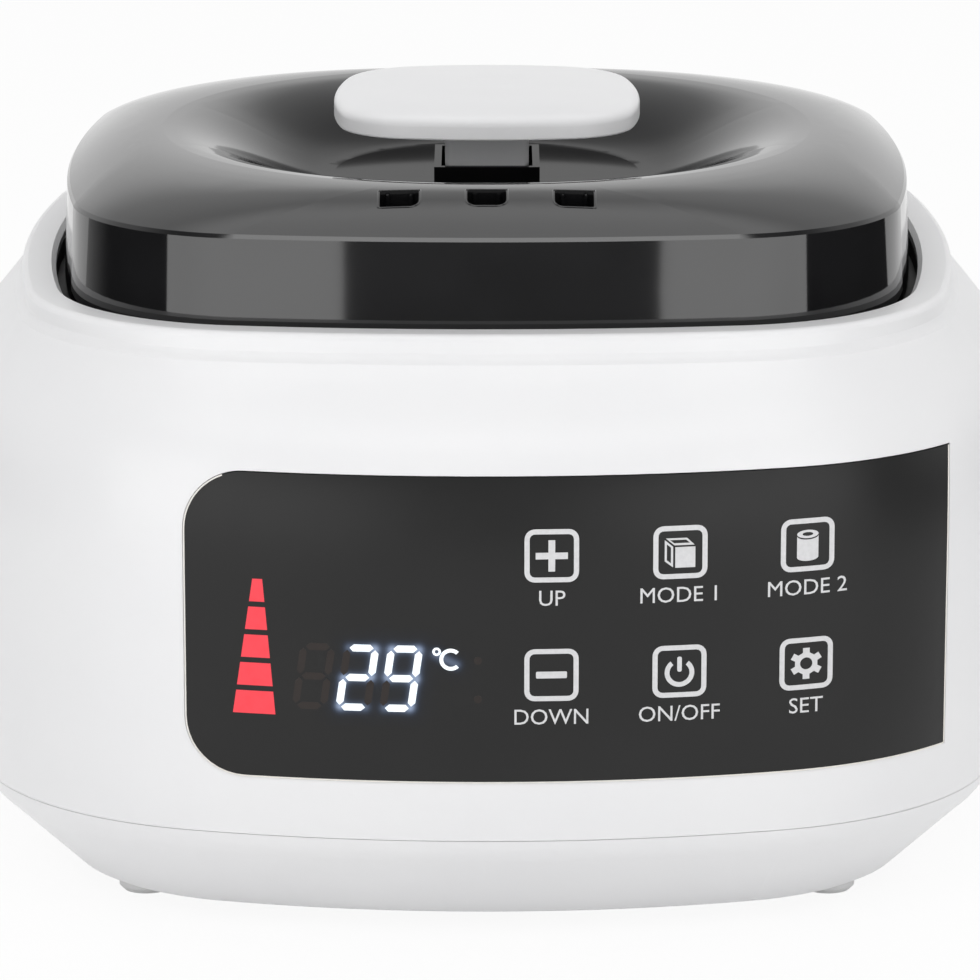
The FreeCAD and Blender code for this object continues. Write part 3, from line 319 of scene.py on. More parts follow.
@dataclass(frozen=True)
class Drawn(Finish):
    """Metal that was drawn and turned: fine rings round the middle axis, with a soft bloom."""

    ring_mm: float = 0.35
    ring_detail: float = 3.0
    depth_mm: float = 0.004
    bloom_mm: float = 14.0
    bloom_detail: float = 4.0
    bloom_span: Span = (0.25, 0.85)
    bloom_tone: float = 0.94
    ring_rough: float = 0.12
    bloom_rough: float = 0.03
    rough_drop: float = 0.08

    def sockets(self, graph: Graph) -> dict[str, Any]:
        """Values and links of the shader.

        Args:
            graph: Node graph of the material.

        Returns:
            The shader's sockets by name.
        """
        x, y, z = graph.val("ShaderNodeTexCoord", {}, {}, "Object").parts()
        radius = (x * x + y * y).root()
        where = graph.val("ShaderNodeCombineXYZ", {}, {0: radius, 1: z})
        rings = self.noise(graph, self.ring_mm, self.ring_detail, where)
        bloom = self.noise(graph, self.bloom_mm, self.bloom_detail)
        rough = self.rough + rings * self.ring_rough + bloom * self.bloom_rough - self.rough_drop
        return {
            "Base Color": bloom.smooth(*self.bloom_span).between(self.colour, self.toned(self.bloom_tone)),
            "Metallic": 1.0,
            "Roughness": rough,
            "Normal": self.bump(graph, rings, self.depth_mm),
        }


@dataclass(frozen=True)
class Speckled(Finish):
    """Base of finishes with one noise for colour, gloss and relief."""

    grain_mm: float = 1.2
    detail: float = 5.0
    span: Span = (0.4, 0.8)
    tones: Span = (1.0, 0.7)
    rough_swing: float = 0.2
    depth_mm: float = 0.01
    metal: float = 0.0
    gloss: float = 0.5
    sheen: float = 0.0

    def sockets(self, graph: Graph) -> dict[str, Any]:
        """Values and links of the shader.

        Args:
            graph: Node graph of the material.

        Returns:
            The shader's sockets by name.
        """
        grain = self.noise(graph, self.grain_mm, self.detail)
        first, second = (self.toned(tone) for tone in self.tones)
        sockets = {
            "Base Color": grain.smooth(*self.span).between(first, second),
            "Roughness": self.rough + (grain - NOISE_MIDDLE) * self.rough_swing,
            "Metallic": self.metal,
            "Specular IOR Level": self.gloss,
            "Sheen Weight": self.sheen,
        }
        if self.depth_mm:
            sockets["Normal"] = self.bump(graph, grain, self.depth_mm)
        return sockets


@dataclass(frozen=True)
class Plated(Speckled):
    """Small turned or plated metal pieces with faint handling marks."""

    metal: float = 1.0


@dataclass(frozen=True)
class Felted(Speckled):
    """Felted mineral fibre."""

    grain_mm: float = 2.4
    detail: float = 6.0
    span: Span = (0.3, 0.7)
    tones: Span = (0.72, 1.0)
    rough_swing: float = 0.0
    depth_mm: float = 0.6
    sheen: float = 0.3


@dataclass(frozen=True)
class Ink(Speckled):
    """Screen-printed ink with a slightly uneven cover."""

    grain_mm: float = 0.7
    detail: float = 4.0
    span: Span = (0.35, 0.65)
    tones: Span = (0.94, 1.0)
    rough_swing: float = 0.1
    depth_mm: float = 0.0
    gloss: float = 0.3


@dataclass(frozen=True)
class Laminate(Finish):
    """Circuit board: woven core under a coloured coat, with paler tracks."""

    track: Colour = (0.10, 0.32, 0.14)
    track_scale: float = 220.0
    track_span: Span = (0.05, 0.12)
    weave_mm: float = 0.4
    weave_rough: float = 0.15
    depth_mm: float = 0.02

    def sockets(self, graph: Graph) -> dict[str, Any]:
        """Values and links of the shader.

        Args:
            graph: Node graph of the material.

        Returns:
            The shader's sockets by name.
        """
        place = graph.val("ShaderNodeTexCoord", {}, {}, "Object")
        settings = {"feature": "DISTANCE_TO_EDGE", "distance": "EUCLIDEAN"}
        sockets = {"Vector": place, "Scale": self.track_scale}
        cells = graph.val("ShaderNodeTexVoronoi", settings, sockets, "Distance")
        weave = self.noise(graph, self.weave_mm)
        return {
            "Base Color": cells.smooth(*self.track_span).between(self.track, self.colour),
            "Roughness": self.rough + (weave - NOISE_MIDDLE) * self.weave_rough,
            "Normal": self.bump(graph, weave, self.depth_mm),
        }


@dataclass(frozen=True)
class Lamp(Finish):
    """Lit part of the readout, a little uneven in its light."""

    strength: float = 1.0
    edge: Colour = (0.5, 0.5, 0.5)
    unlit: Colour = (0.02, 0.02, 0.02)
    patch_mm: float = 1.6
    patch_span: Span = (0.25, 0.6)

    def sockets(self, graph: Graph) -> dict[str, Any]:
        """Values and links of the shader.

        Args:
            graph: Node graph of the material.

        Returns:
            The shader's sockets by name.
        """
        patches = self.noise(graph, self.patch_mm)
        return {
            "Base Color": (*self.unlit, 1.0),
            "Roughness": self.rough,
            "Emission Color": patches.smooth(*self.patch_span).between(self.edge, self.colour),
            "Emission Strength": self.strength,
        }


@dataclass(frozen=True)
class Haze(Finish):
    """Glow in the overlay round lit figures, from the attribute "glow" of the piece."""

    strength: float = 1.0
    far: Colour = (0.10, 0.14, 0.24)

    def sockets(self, graph: Graph) -> dict[str, Any]:
        """Values and links of the shader.

        Args:
            graph: Node graph of the material.

        Returns:
            The shader's sockets by name.
        """
        glow = graph.val("ShaderNodeAttribute", {"attribute_name": "glow"}, {}, "Fac")
        return {
            "Base Color": (0.0, 0.0, 0.0, 1.0),
            "Roughness": self.rough,
            "Specular IOR Level": 0.0,
            "Alpha": glow,
            "Emission Color": glow.between(self.far, self.colour),
            "Emission Strength": self.strength,
        }

    def make(self) -> Material:
        """Builds the material, which lets the panel show through.

        Returns:
            The material.
        """
        material = super().make()
        material.surface_render_method = "BLENDED"
        return material


FINISHES = (
    Moulded("white_shell", (0.80, 0.80, 0.808), 0.36, shade=(0.785, 0.785, 0.795),
            grain_mm=0.45, grain_depth_mm=0.0025, rough_swing=0.06),
    Lacquered("black_gloss", (0.006, 0.006, 0.0065), 0.06),
    Moulded("dark_panel", (0.0115, 0.0115, 0.0115), 0.36, shade=(0.013, 0.013, 0.013),
            grain_mm=0.3, grain_depth_mm=0.0006, gloss=0.3),
    Moulded("dark_plastic", (0.005, 0.005, 0.005), 0.5, shade=(0.007, 0.007, 0.007),
            grain_mm=0.35, grain_depth_mm=0.01, rough_swing=0.12, gloss=0.2),
    Moulded("clear_guide", (0.62, 0.62, 0.66), 0.25, shade=(0.70, 0.70, 0.72)),
    Drawn("pot_metal", (0.80, 0.80, 0.81), 0.32),
    Drawn("well_metal", (0.62, 0.62, 0.63), 0.42, ring_mm=0.6),
    Plated("steel", (0.60, 0.60, 0.62), 0.30),
    Plated("pin_metal", (0.80, 0.66, 0.36), 0.22),
    Moulded("rubber", (0.78, 0.78, 0.78), 0.75, shade=(0.72, 0.72, 0.72),
            grain_mm=0.4, grain_depth_mm=0.03, rough_swing=0.15),
    Laminate("board", (0.02, 0.13, 0.05), 0.35),
    Moulded("component", (0.05, 0.05, 0.055), 0.5, shade=(0.08, 0.08, 0.08), grain_depth_mm=0.02),
    Moulded("terminal", (0.03, 0.20, 0.07), 0.4, shade=(0.04, 0.25, 0.09), grain_depth_mm=0.01),
    Felted("insulation", (0.80, 0.77, 0.68), 0.95),
    Moulded("lead_cover", (0.62, 0.62, 0.60), 0.45, shade=(0.70, 0.70, 0.68), grain_depth_mm=0.01),
)
INK = Ink("key_ink", (0.66, 0.66, 0.67), 0.45)
UNLIT = Ink("unlit_bars", (0.0255, 0.0195, 0.0175), 0.36)
WHITE_LIGHT = Lamp("figure_light", (0.93, 0.98, 1.0), 0.4, strength=1.25, edge=(0.78, 0.90, 1.0))
RED_LIGHT = Lamp("level_light", (1.0, 0.033, 0.058), 0.4, strength=0.98, edge=(0.95, 0.027, 0.050))
HAZE = Haze("figure_haze", (0.55, 0.68, 0.95), 0.4, strength=0.55)
BEAD = Moulded("panel_bead", (0.86, 0.83, 0.78), 0.3, shade=(0.82, 0.80, 0.76))


def rounded(x: float, z: float, width: float, height: float, radius: float, steps: int = 2) -> Loop:
    """Rounded rectangle.

    Args:
        x: Middle, across.
        z: Middle, up.
        width: Full width.
        height: Full height.
        radius: Corner radius.
        steps: Points in each corner, less one.

    Returns:
        The closed outline.
    """
    loop: Loop = []
    for quarter, (sx, sz) in enumerate(((1, 1), (-1, 1), (-1, -1), (1, -1))):
        for step in range(steps + 1):
            turn = math.pi / 2 * (quarter + step / steps)
            loop.append((x + sx * (width / 2 - radius) + radius * math.cos(turn),
                         z + sz * (height / 2 - radius) + radius * math.sin(turn)))
    return loop


def sweep(x: float, z: float, rx: float, rz: float, start: float = 0.0, end: float = 360.0,
          steps: int = 32) -> Loop:
    """Points of an ellipse between two angles in degrees.

    Args:
        x: Middle, across.
        z: Middle, up.
        rx: Radius across.
        rz: Radius up.
        start: First angle.
        end: Last angle, left out on a full turn.
        steps: Steps between them.

    Returns:
        The points.
    """
    count = steps if end - start >= 360.0 else steps + 1
    turns = [math.radians(start + (end - start) * step / steps) for step in range(count)]
    return [(x + rx * math.cos(turn), z + rz * math.sin(turn)) for turn in turns]


def arc_band(x: float, z: float, radius: float, width: float, start: float, end: float) -> Loop:
    """Open ring between two angles, as one outline.

    Args:
        x: Middle, across.
        z: Middle, up.
        radius: Radius at the middle of the band.
        width: Width of the band.
        start: First angle in degrees.
        end: Last angle.

    Returns:
        The closed outline.
    """
    outer = sweep(x, z, radius + width / 2, radius + width / 2, start, end)
    inner = sweep(x, z, radius - width / 2, radius - width / 2, start, end)
    return outer + inner[::-1]


def linked(name: str, data: Any) -> Piece:
    """New object of this name and data, in the scene.

    Args:
        name: Name of the object.
        data: Its mesh, curve, light or camera.

    Returns:
        The object.
    """
    made = bpy.data.objects.new(name, data)
    bpy.context.scene.collection.objects.link(made)
    return made


def evaluated_mesh(holder: Piece) -> Mesh:
    """Plain mesh of an object as its curve or modifiers make it."""
    evaluated = holder.evaluated_get(bpy.context.evaluated_depsgraph_get())
    return bpy.data.meshes.new_from_object(evaluated)


def curve_mesh(curve: bpy.types.Curve) -> Mesh:
    """Turns a flat curve or text into a plain mesh.

    Args:
        curve: The curve data, which is removed.

    Returns:
        The mesh.
    """
    holder = linked(curve.name, curve)
    mesh = evaluated_mesh(holder)
    bpy.data.objects.remove(holder)
    bpy.data.curves.remove(curve)
    return mesh


def flat_mesh(name: str, loops: Sequence[Loop]) -> Mesh:
    """Fills closed outlines, with inner ones as holes.

    Args:
        name: Name of the mesh.
        loops: Outlines in millimetres.

    Returns:
        A flat mesh in the XY plane, in metres.
    """
    curve = bpy.data.curves.new(name, "CURVE")
    curve.dimensions = "2D"
    curve.fill_mode = "BOTH"
    for loop in loops:
        spline = curve.splines.new("POLY")
        spline.points.add(len(loop) - 1)
        for point, (x, z) in zip(spline.points, loop):
            point.co = (x * MM, z * MM, 0.0, 1.0)
        spline.use_cyclic_u = True
    return curve_mesh(curve)


def text_mesh(name: str, words: str, x: float, z: float, height: float) -> Mesh:
    """Flat lettering, centred on a place.

    Args:
        name: Name of the mesh.
        words: What it says.
        x: Middle, across, in millimetres.
        z: Middle, up.
        height: Height of the type.

    Returns:
        A flat mesh in the XY plane, in metres.
    """
    curve = bpy.data.curves.new(name, "FONT")
    curve.body = words
    curve.align_x = "CENTER"
    curve.align_y = "CENTER"
    curve.size = height * MM
    curve.resolution_u = TYPE_STEPS
    mesh = curve_mesh(curve)
    mesh.transform(Matrix.Translation((x * MM, z * MM, 0.0)))
    return mesh


def joined(name: str, meshes: Sequence[Mesh], cell_mm: float = 1.0) -> Piece:
    """One object from flat meshes, sliced so that it can follow a curved face.

    Args:
        name: Name of the object.
        meshes: Flat meshes in the XY plane, which are removed.
        cell_mm: Distance between the slices.

    Returns:
        The object, still flat.
    """
    shape = bmesh.new()
    for mesh in meshes:
        shape.from_mesh(mesh)
        bpy.data.meshes.remove(mesh)
    bmesh.ops.remove_doubles(shape, verts=shape.verts, dist=MERGE)
    cell = cell_mm * MM
    for axis in (0, 1):
        across = Vector((0.0, 0.0, 0.0))
        across[axis] = 1.0
        places = [vert.co[axis] for vert in shape.verts]
        for count in range(math.ceil(min(places) / cell), math.floor(max(places) / cell) + 1):
            everything = shape.verts[:] + shape.edges[:] + shape.faces[:]
            bmesh.ops.bisect_plane(shape, geom=everything, dist=CUT, plane_co=across * count * cell,
                                   plane_no=across)
    bmesh.ops.triangulate(shape, faces=shape.faces)
    bmesh.ops.dissolve_degenerate(shape, dist=SLIVER, edges=shape.edges)
    mesh = bpy.data.meshes.new(name)
    shape.to_mesh(mesh)
    shape.free()
    return linked(name, mesh)


def outward(mesh: Mesh, depth_mm: float = 0.0) -> None:
    """Turns the faces of shapes outwards; a sheet that faces the front is first closed into a thin solid.

    Args:
        mesh: The shapes.
        depth_mm: How far the back of a sheet lies behind it, or 0 for shapes that are closed already.
    """
    shape = bmesh.new()
    shape.from_mesh(mesh)
    bmesh.ops.remove_doubles(shape, verts=shape.verts, dist=MERGE)
    if depth_mm:
        sheet = shape.faces[:]
        rim = [edge.link_loops[0] for edge in shape.edges if edge.is_boundary]
        back = {}
        for vert in shape.verts[:]:
            back[vert] = shape.verts.new((vert.co.x, vert.co.y + depth_mm * MM, vert.co.z))
        for face in sheet:
            shape.faces.new([back[vert] for vert in reversed(face.verts)], face)
        for corner in rim:
            first, second = corner.vert, corner.link_loop_next.vert
            shape.faces.new((first, second, back[second], back[first]), corner.face)
    bmesh.ops.recalc_face_normals(shape, faces=shape.faces)
    shape.to_mesh(mesh)
    shape.free()


def lay(graph: Graph, geometry: Val, under: Val, lift: Val, facing: Facing = Facing.FRONT,
        level: Val | None = None) -> Val:
    """Adds the nodes that drop a flat XY shape onto a surface.

    Args:
        graph: Geometry graph.
        geometry: Flat geometry.
        under: Object with the surface.
        lift: Height above it.
        facing: Side that the shape comes from; AROUND closes in on the middle axis.
        level: Height of a shape that comes from all around.

    Returns:
        The geometry, lying on the surface.
    """
    x, y, _ = graph.val("GeometryNodeInputPosition").parts()
    if facing is Facing.FRONT:
        spots, heading = (x, -RAY_START, y), (0.0, 1.0, 0.0)
    elif facing is Facing.TOP:
        spots, heading = (x, y, RAY_START), (0.0, 0.0, -1.0)
    else:
        spots, heading = (x, y, level), graph.val("ShaderNodeCombineXYZ", {}, {0: 0.0 - x, 1: 0.0 - y})
    start = graph.val("ShaderNodeCombineXYZ", {}, dict(enumerate(spots)))
    surface = graph.val("GeometryNodeObjectInfo", {}, {"Object": under}, "Geometry")
    hit = graph.node("GeometryNodeRaycast", {"data_type": "FLOAT"}, {
        "Target Geometry": surface, "Source Position": start, "Ray Direction": heading,
        "Ray Length": RAY_REACH})
    along = graph.val("ShaderNodeVectorMath", {"operation": "SCALE"},
                      {0: Val(graph, hit.outputs["Hit Normal"]), "Scale": lift})
    place = graph.val("ShaderNodeVectorMath", {"operation": "ADD"},
                      {0: Val(graph, hit.outputs["Hit Position"]), 1: along})
    return graph.val("GeometryNodeSetPosition", {}, {"Geometry": geometry, "Position": place}, "Geometry")


def square(graph: Graph, side: Val, corner: Val, count: int) -> Val:
    """Curve of a square with round corners of this radius and count of points."""
    shape = graph.val("GeometryNodeCurvePrimitiveQuadrilateral", {"mode": "RECTANGLE"},
                      {"Width": side, "Height": side})
    return graph.val("GeometryNodeFilletCurve", {"mode": "POLY"},
                     {"Curve": shape, "Count": count, "Radius": corner})


def run_tree(holder: Piece, values: Mapping[str, Any],
             shape: Callable[[Graph, Mapping[str, Val]], Val]) -> Piece:
    """Builds a tree, runs it on an object and keeps the result as the object's plain mesh.

    Args:
        holder: Object that carries the modifier for a moment. Its own mesh is the input "Shape".
        values: The other inputs by name: sizes in millimetres, objects, and the material as "Finish".
        shape: Adds the nodes from the inputs to the finished geometry.

    Returns:
        The same object, with the finished mesh.
    """
    tree = bpy.data.node_groups.new(holder.name, "GeometryNodeTree")
    tree.interface.new_socket(name="Shape", in_out="INPUT", socket_type="NodeSocketGeometry")
    keys = {}
    for name, value in values.items():
        kind = next(kind for sort, kind in SOCKETS.items() if isinstance(value, sort))
        keys[name] = tree.interface.new_socket(name=name, in_out="INPUT", socket_type=kind).identifier
    tree.interface.new_socket(name="Geometry", in_out="OUTPUT", socket_type="NodeSocketGeometry")
    graph = Graph(tree)
    given = graph.node("NodeGroupInput")
    take = {name: Val(graph, given.outputs[name]) for name in ("Shape", *values)}
    real = graph.val("GeometryNodeRealizeInstances", {}, {0: shape(graph, take)})
    done = graph.val("GeometryNodeSetMaterial", {}, {"Geometry": real, "Material": take["Finish"]})
    graph.node("NodeGroupOutput", {}, {"Geometry": done})
    modifier = holder.modifiers.new("shape", "NODES")
    modifier.node_group = tree
    for name, value in values.items():
        modifier[keys[name]] = value * MM if isinstance(value, float) else value
    bpy.context.view_layer.update()
    mesh = evaluated_mesh(holder)
    holder.modifiers.clear()
    old, holder.data = holder.data, mesh
    mesh.name = holder.name
    bpy.data.meshes.remove(old)
    return holder


def on_panel(flat: Piece, material: Material, lift_mm: float) -> Piece:
    """Lays an object with a flat XY mesh on the panel's face, lifted by a little."""
    values = {"Panel": frame["nodes"]["control_panel"], "Lift": lift_mm, "Finish": material}
    return run_tree(flat, values, lambda graph, take: lay(graph, take["Shape"], take["Panel"], take["Lift"]))


@dataclass
class Bead:
    """Thin round bead along flat paths, laid on a node. Sizes in millimetres."""

    name: str
    node: str
    radius: float
    facing: Facing
    closed: bool = True
    sink: float = 0.0
    level: float = 0.0
    step: float = 0.6
    sides: int = 8

    def tree(self, graph: Graph, take: Mapping[str, Val]) -> Val:
        """Nodes of the bead.

        Args:
            graph: Geometry graph.
            take: Inputs of the tree.

        Returns:
            The bead's geometry.
        """
        line = graph.val("GeometryNodeMeshToCurve", {}, {"Mesh": take["Shape"]})
        fine = graph.val("GeometryNodeResampleCurve", {"mode": "LENGTH"},
                         {"Curve": line, "Length": take["Step"]})
        laid = lay(graph, fine, take["Under"], 0.0 - take["Sink"], self.facing, take["Level"])
        ring = graph.val("GeometryNodeCurvePrimitiveCircle", {"mode": "RADIUS"},
                         {"Resolution": self.sides, "Radius": take["Radius"]})
        tube = graph.val("GeometryNodeCurveToMesh", {},
                         {"Curve": laid, "Profile Curve": ring, "Fill Caps": not self.closed})
        return graph.val("GeometryNodeSetShadeSmooth", {}, {"Geometry": tube})

    def build(self, loops: Sequence[Loop], material: Material) -> Piece:
        """Makes the bead.

        Args:
            loops: Paths in millimetres.
            material: Its finish.

        Returns:
            The finished piece.
        """
        verts, edges = [], []
        for loop in loops:
            base = len(verts)
            verts += [(x * MM, y * MM, 0.0) for x, y in loop]
            steps = len(loop) if self.closed else len(loop) - 1
            edges += [(base + i, base + (i + 1) % len(loop)) for i in range(steps)]
        mesh = bpy.data.meshes.new(self.name)
        mesh.from_pydata(verts, edges, [])
        values = {"Radius": self.radius, "Sink": self.sink, "Step": self.step, "Level": self.level,
                  "Under": frame["nodes"][self.node], "Finish": material}
        piece = run_tree(linked(self.name, mesh), values, self.tree)
        outward(piece.data)
        return piece


@dataclass
class PanelEdge:
    """Pale bead of adhesive that shows round the control panel, but for its upper edge."""

    inset: float = 0.05
    corner: float = 10.9
    start_deg: float = 110.0
    corner_steps: int = 10
    radius: float = 0.16

    def build(self) -> list[Piece]:
        """Makes the bead from the panel's own box.

        Returns:
            The finished piece.
        """
        low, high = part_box("control_panel")
        left, bottom = low[0] / MM + self.inset, low[2] / MM + self.inset
        right, top = high[0] / MM - self.inset, high[2] / MM - self.inset
        r = self.corner
        path = sweep(left + r, top - r, r, r, self.start_deg, 180.0, self.corner_steps)
        path += sweep(left + r, bottom + r, r, r, 180.0, 270.0, self.corner_steps)
        path += [(right, bottom), (right, top)]
        bead = Bead("panel_bead", "control_panel", self.radius, Facing.FRONT, closed=False)
        piece = bead.build([path], BEAD.make())
        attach(piece, Body.HOUSING.value)
        return [piece]


@dataclass
class SeamStrip:
    """Thin pale strip that fills the seam between the upper housing and the base."""

    radius: float = 0.2
    sink: float = 0.12
    rise: float = 0.03
    reach: float = 300.0
    reach_steps: int = 360
    step: float = 2.4

    def build(self, material: Material) -> list[Piece]:
        """Makes the strip along the lower edge of the upper housing.

        Args:
            material: The housing's finish.

        Returns:
            The finished piece.
        """
        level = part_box("upper_housing")[0][2] / MM + self.rise
        path = sweep(0.0, 0.0, self.reach, self.reach, steps=self.reach_steps)
        bead = Bead("seam_strip", "upper_housing", self.radius, Facing.AROUND, sink=self.sink, level=level,
                    step=self.step)
        piece = bead.build([path], material)
        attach(piece, Body.HOUSING.value)
        return [piece]


@dataclass
class SteamSlots:
    """Soft rims round the lid's steam slots, and the ribs that show inside them."""

    pitch: float = 16.3
    width: float = 7.3
    back: float = -67.5
    front: float = -73.5
    corner: float = 2.1
    corner_steps: int = 6
    margin: float = 0.3
    rim: float = 0.16
    rib_step: float = 2.2
    rib_width: float = 0.8
    rib_round: float = 0.4
    rib_corner_count: int = 4
    rib_low: float = 132.0
    rib_high: float = 137.3

    def rims(self) -> list[Loop]:
        """Paths just outside the slots; the outer two are rounded only towards the middle.

        Returns:
            One closed path for each slot.
        """
        loops = []
        half, r = self.width / 2 + self.margin, self.corner
        back, front = self.back + self.margin, self.front - self.margin
        for count in (-1, 0, 1):
            left, right = self.pitch * count - half, self.pitch * count + half
            loop = [(right, back), (left, back)]
            round_left = sweep(left + r, front + r, r, r, 180.0, 270.0, self.corner_steps)
            round_right = sweep(right - r, front + r, r, r, 270.0, 360.0, self.corner_steps)
            loop += round_left if count >= 0 else [(left, front)]
            loop += round_right if count <= 0 else [(right, front)]
            loops.append(loop)
        return loops

    def rib_tree(self, graph: Graph, take: Mapping[str, Val]) -> Val:
        """Nodes that put one rounded rib on every point.

        Args:
            graph: Geometry graph.
            take: Inputs of the tree.

        Returns:
            The ribs.
        """
        ends = [graph.val("ShaderNodeCombineXYZ", {}, {2: take[key]}) for key in ("Low", "High")]
        line = graph.val("GeometryNodeCurvePrimitiveLine", {"mode": "POINTS"},
                         {"Start": ends[0], "End": ends[1]})
        soft = square(graph, take["Width"], take["Width"] * self.rib_round, self.rib_corner_count)
        rib = graph.val("GeometryNodeCurveToMesh", {},
                        {"Curve": line, "Profile Curve": soft, "Fill Caps": True})
        return graph.val("GeometryNodeInstanceOnPoints", {}, {"Points": take["Shape"], "Instance": rib},
                         "Instances")

    def ribs(self, material: Material) -> Piece:
        """Two ribs at the back of each slot.

        Args:
            material: Finish of the ribs.

        Returns:
            The finished piece.
        """
        y = (self.back - self.rib_width / 2) * MM
        spots = [((self.pitch * count + self.rib_step * side) * MM, y, 0.0)
                 for count in (-1, 0, 1) for side in (-1, 1)]
        mesh = bpy.data.meshes.new("slot_ribs")
        mesh.from_pydata(spots, [], [])
        values = {"Width": self.rib_width, "Low": self.rib_low, "High": self.rib_high, "Finish": material}
        piece = run_tree(linked("slot_ribs", mesh), values, self.rib_tree)
        outward(piece.data)
        return piece

    def build(self, material: Material) -> list[Piece]:
        """Makes rims and ribs.

        Args:
            material: The lid's finish.

        Returns:
            The finished pieces.
        """
        bead = Bead("slot_rims", "lid_shell", self.rim, Facing.TOP)
        pieces = [bead.build(self.rims(), material), self.ribs(material)]
        for piece in pieces:
            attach(piece, Body.LID.value)
        return pieces


def toothed(teeth: int, corners: Sequence[Span]) -> Loop:
    """Toothed wheel round the middle.

    Args:
        teeth: Number of teeth.
        corners: Corners of a tooth, each as degrees from its middle line and radius.

    Returns:
        The closed outline.
    """
    loop: Loop = []
    for tooth in range(teeth):
        for turn, radius in corners:
            angle = math.radians(90 + 360 / teeth * tooth + turn)
            loop.append((radius * math.cos(angle), radius * math.sin(angle)))
    return loop


class Sign(Enum):
    """Signs of the keys: closed outlines round their middle in millimetres, where inner ones are holes."""

    MINUS = [rounded(0.0, 0.0, width=5.7, height=1.3, radius=0.2)]
    PLUS = [[(2.95, -0.62), (2.95, 0.62), (0.62, 0.62), (0.62, 2.95), (-0.62, 2.95), (-0.62, 0.62),
             (-2.95, 0.62), (-2.95, -0.62), (-0.62, -0.62), (-0.62, -2.95), (0.62, -2.95), (0.62, -0.62)]]
    POWER = [arc_band(0.0, -0.25, radius=2.3, width=0.9, start=128.0, end=412.0),
             rounded(0.0, 1.35, width=0.85, height=2.9, radius=0.3)]
    GEAR = [toothed(6, ((-17.0, 2.15), (-12.0, 3.05), (12.0, 3.05), (17.0, 2.15))),
            sweep(0.0, 0.0, rx=1.15, rz=1.15)]
    CAN = [sweep(0.0, -2.3, rx=2.0, rz=0.75, start=180.0, end=360.0, steps=16)
           + sweep(0.0, 1.75, rx=2.0, rz=0.75, start=0.0, end=-180.0, steps=16),
           sweep(0.0, 2.05, rx=2.0, rz=0.78), sweep(0.0, 2.05, rx=1.0, rz=0.36)]
    BLOCK = [[(-0.95, -2.9), (2.75, -2.9), (2.75, 1.0), (-0.95, 1.0)],
             [(-1.1, 1.35), (2.6, 1.35), (1.2, 2.7), (-2.7, 2.7)],
             [(-1.15, 1.75), (1.75, 1.75), (1.05, 2.35), (-1.95, 2.35)],
             [(-1.35, 1.1), (-1.35, -2.8), (-2.9, -1.6), (-2.9, 2.4)],
             [(-1.75, 0.95), (-1.75, -2.0), (-2.5, -1.4), (-2.5, 1.6)]]

    def at(self, x: float, z: float) -> list[Loop]:
        """The outlines round a place."""
        return [[(x + i, z + j) for i, j in loop] for loop in self.value]


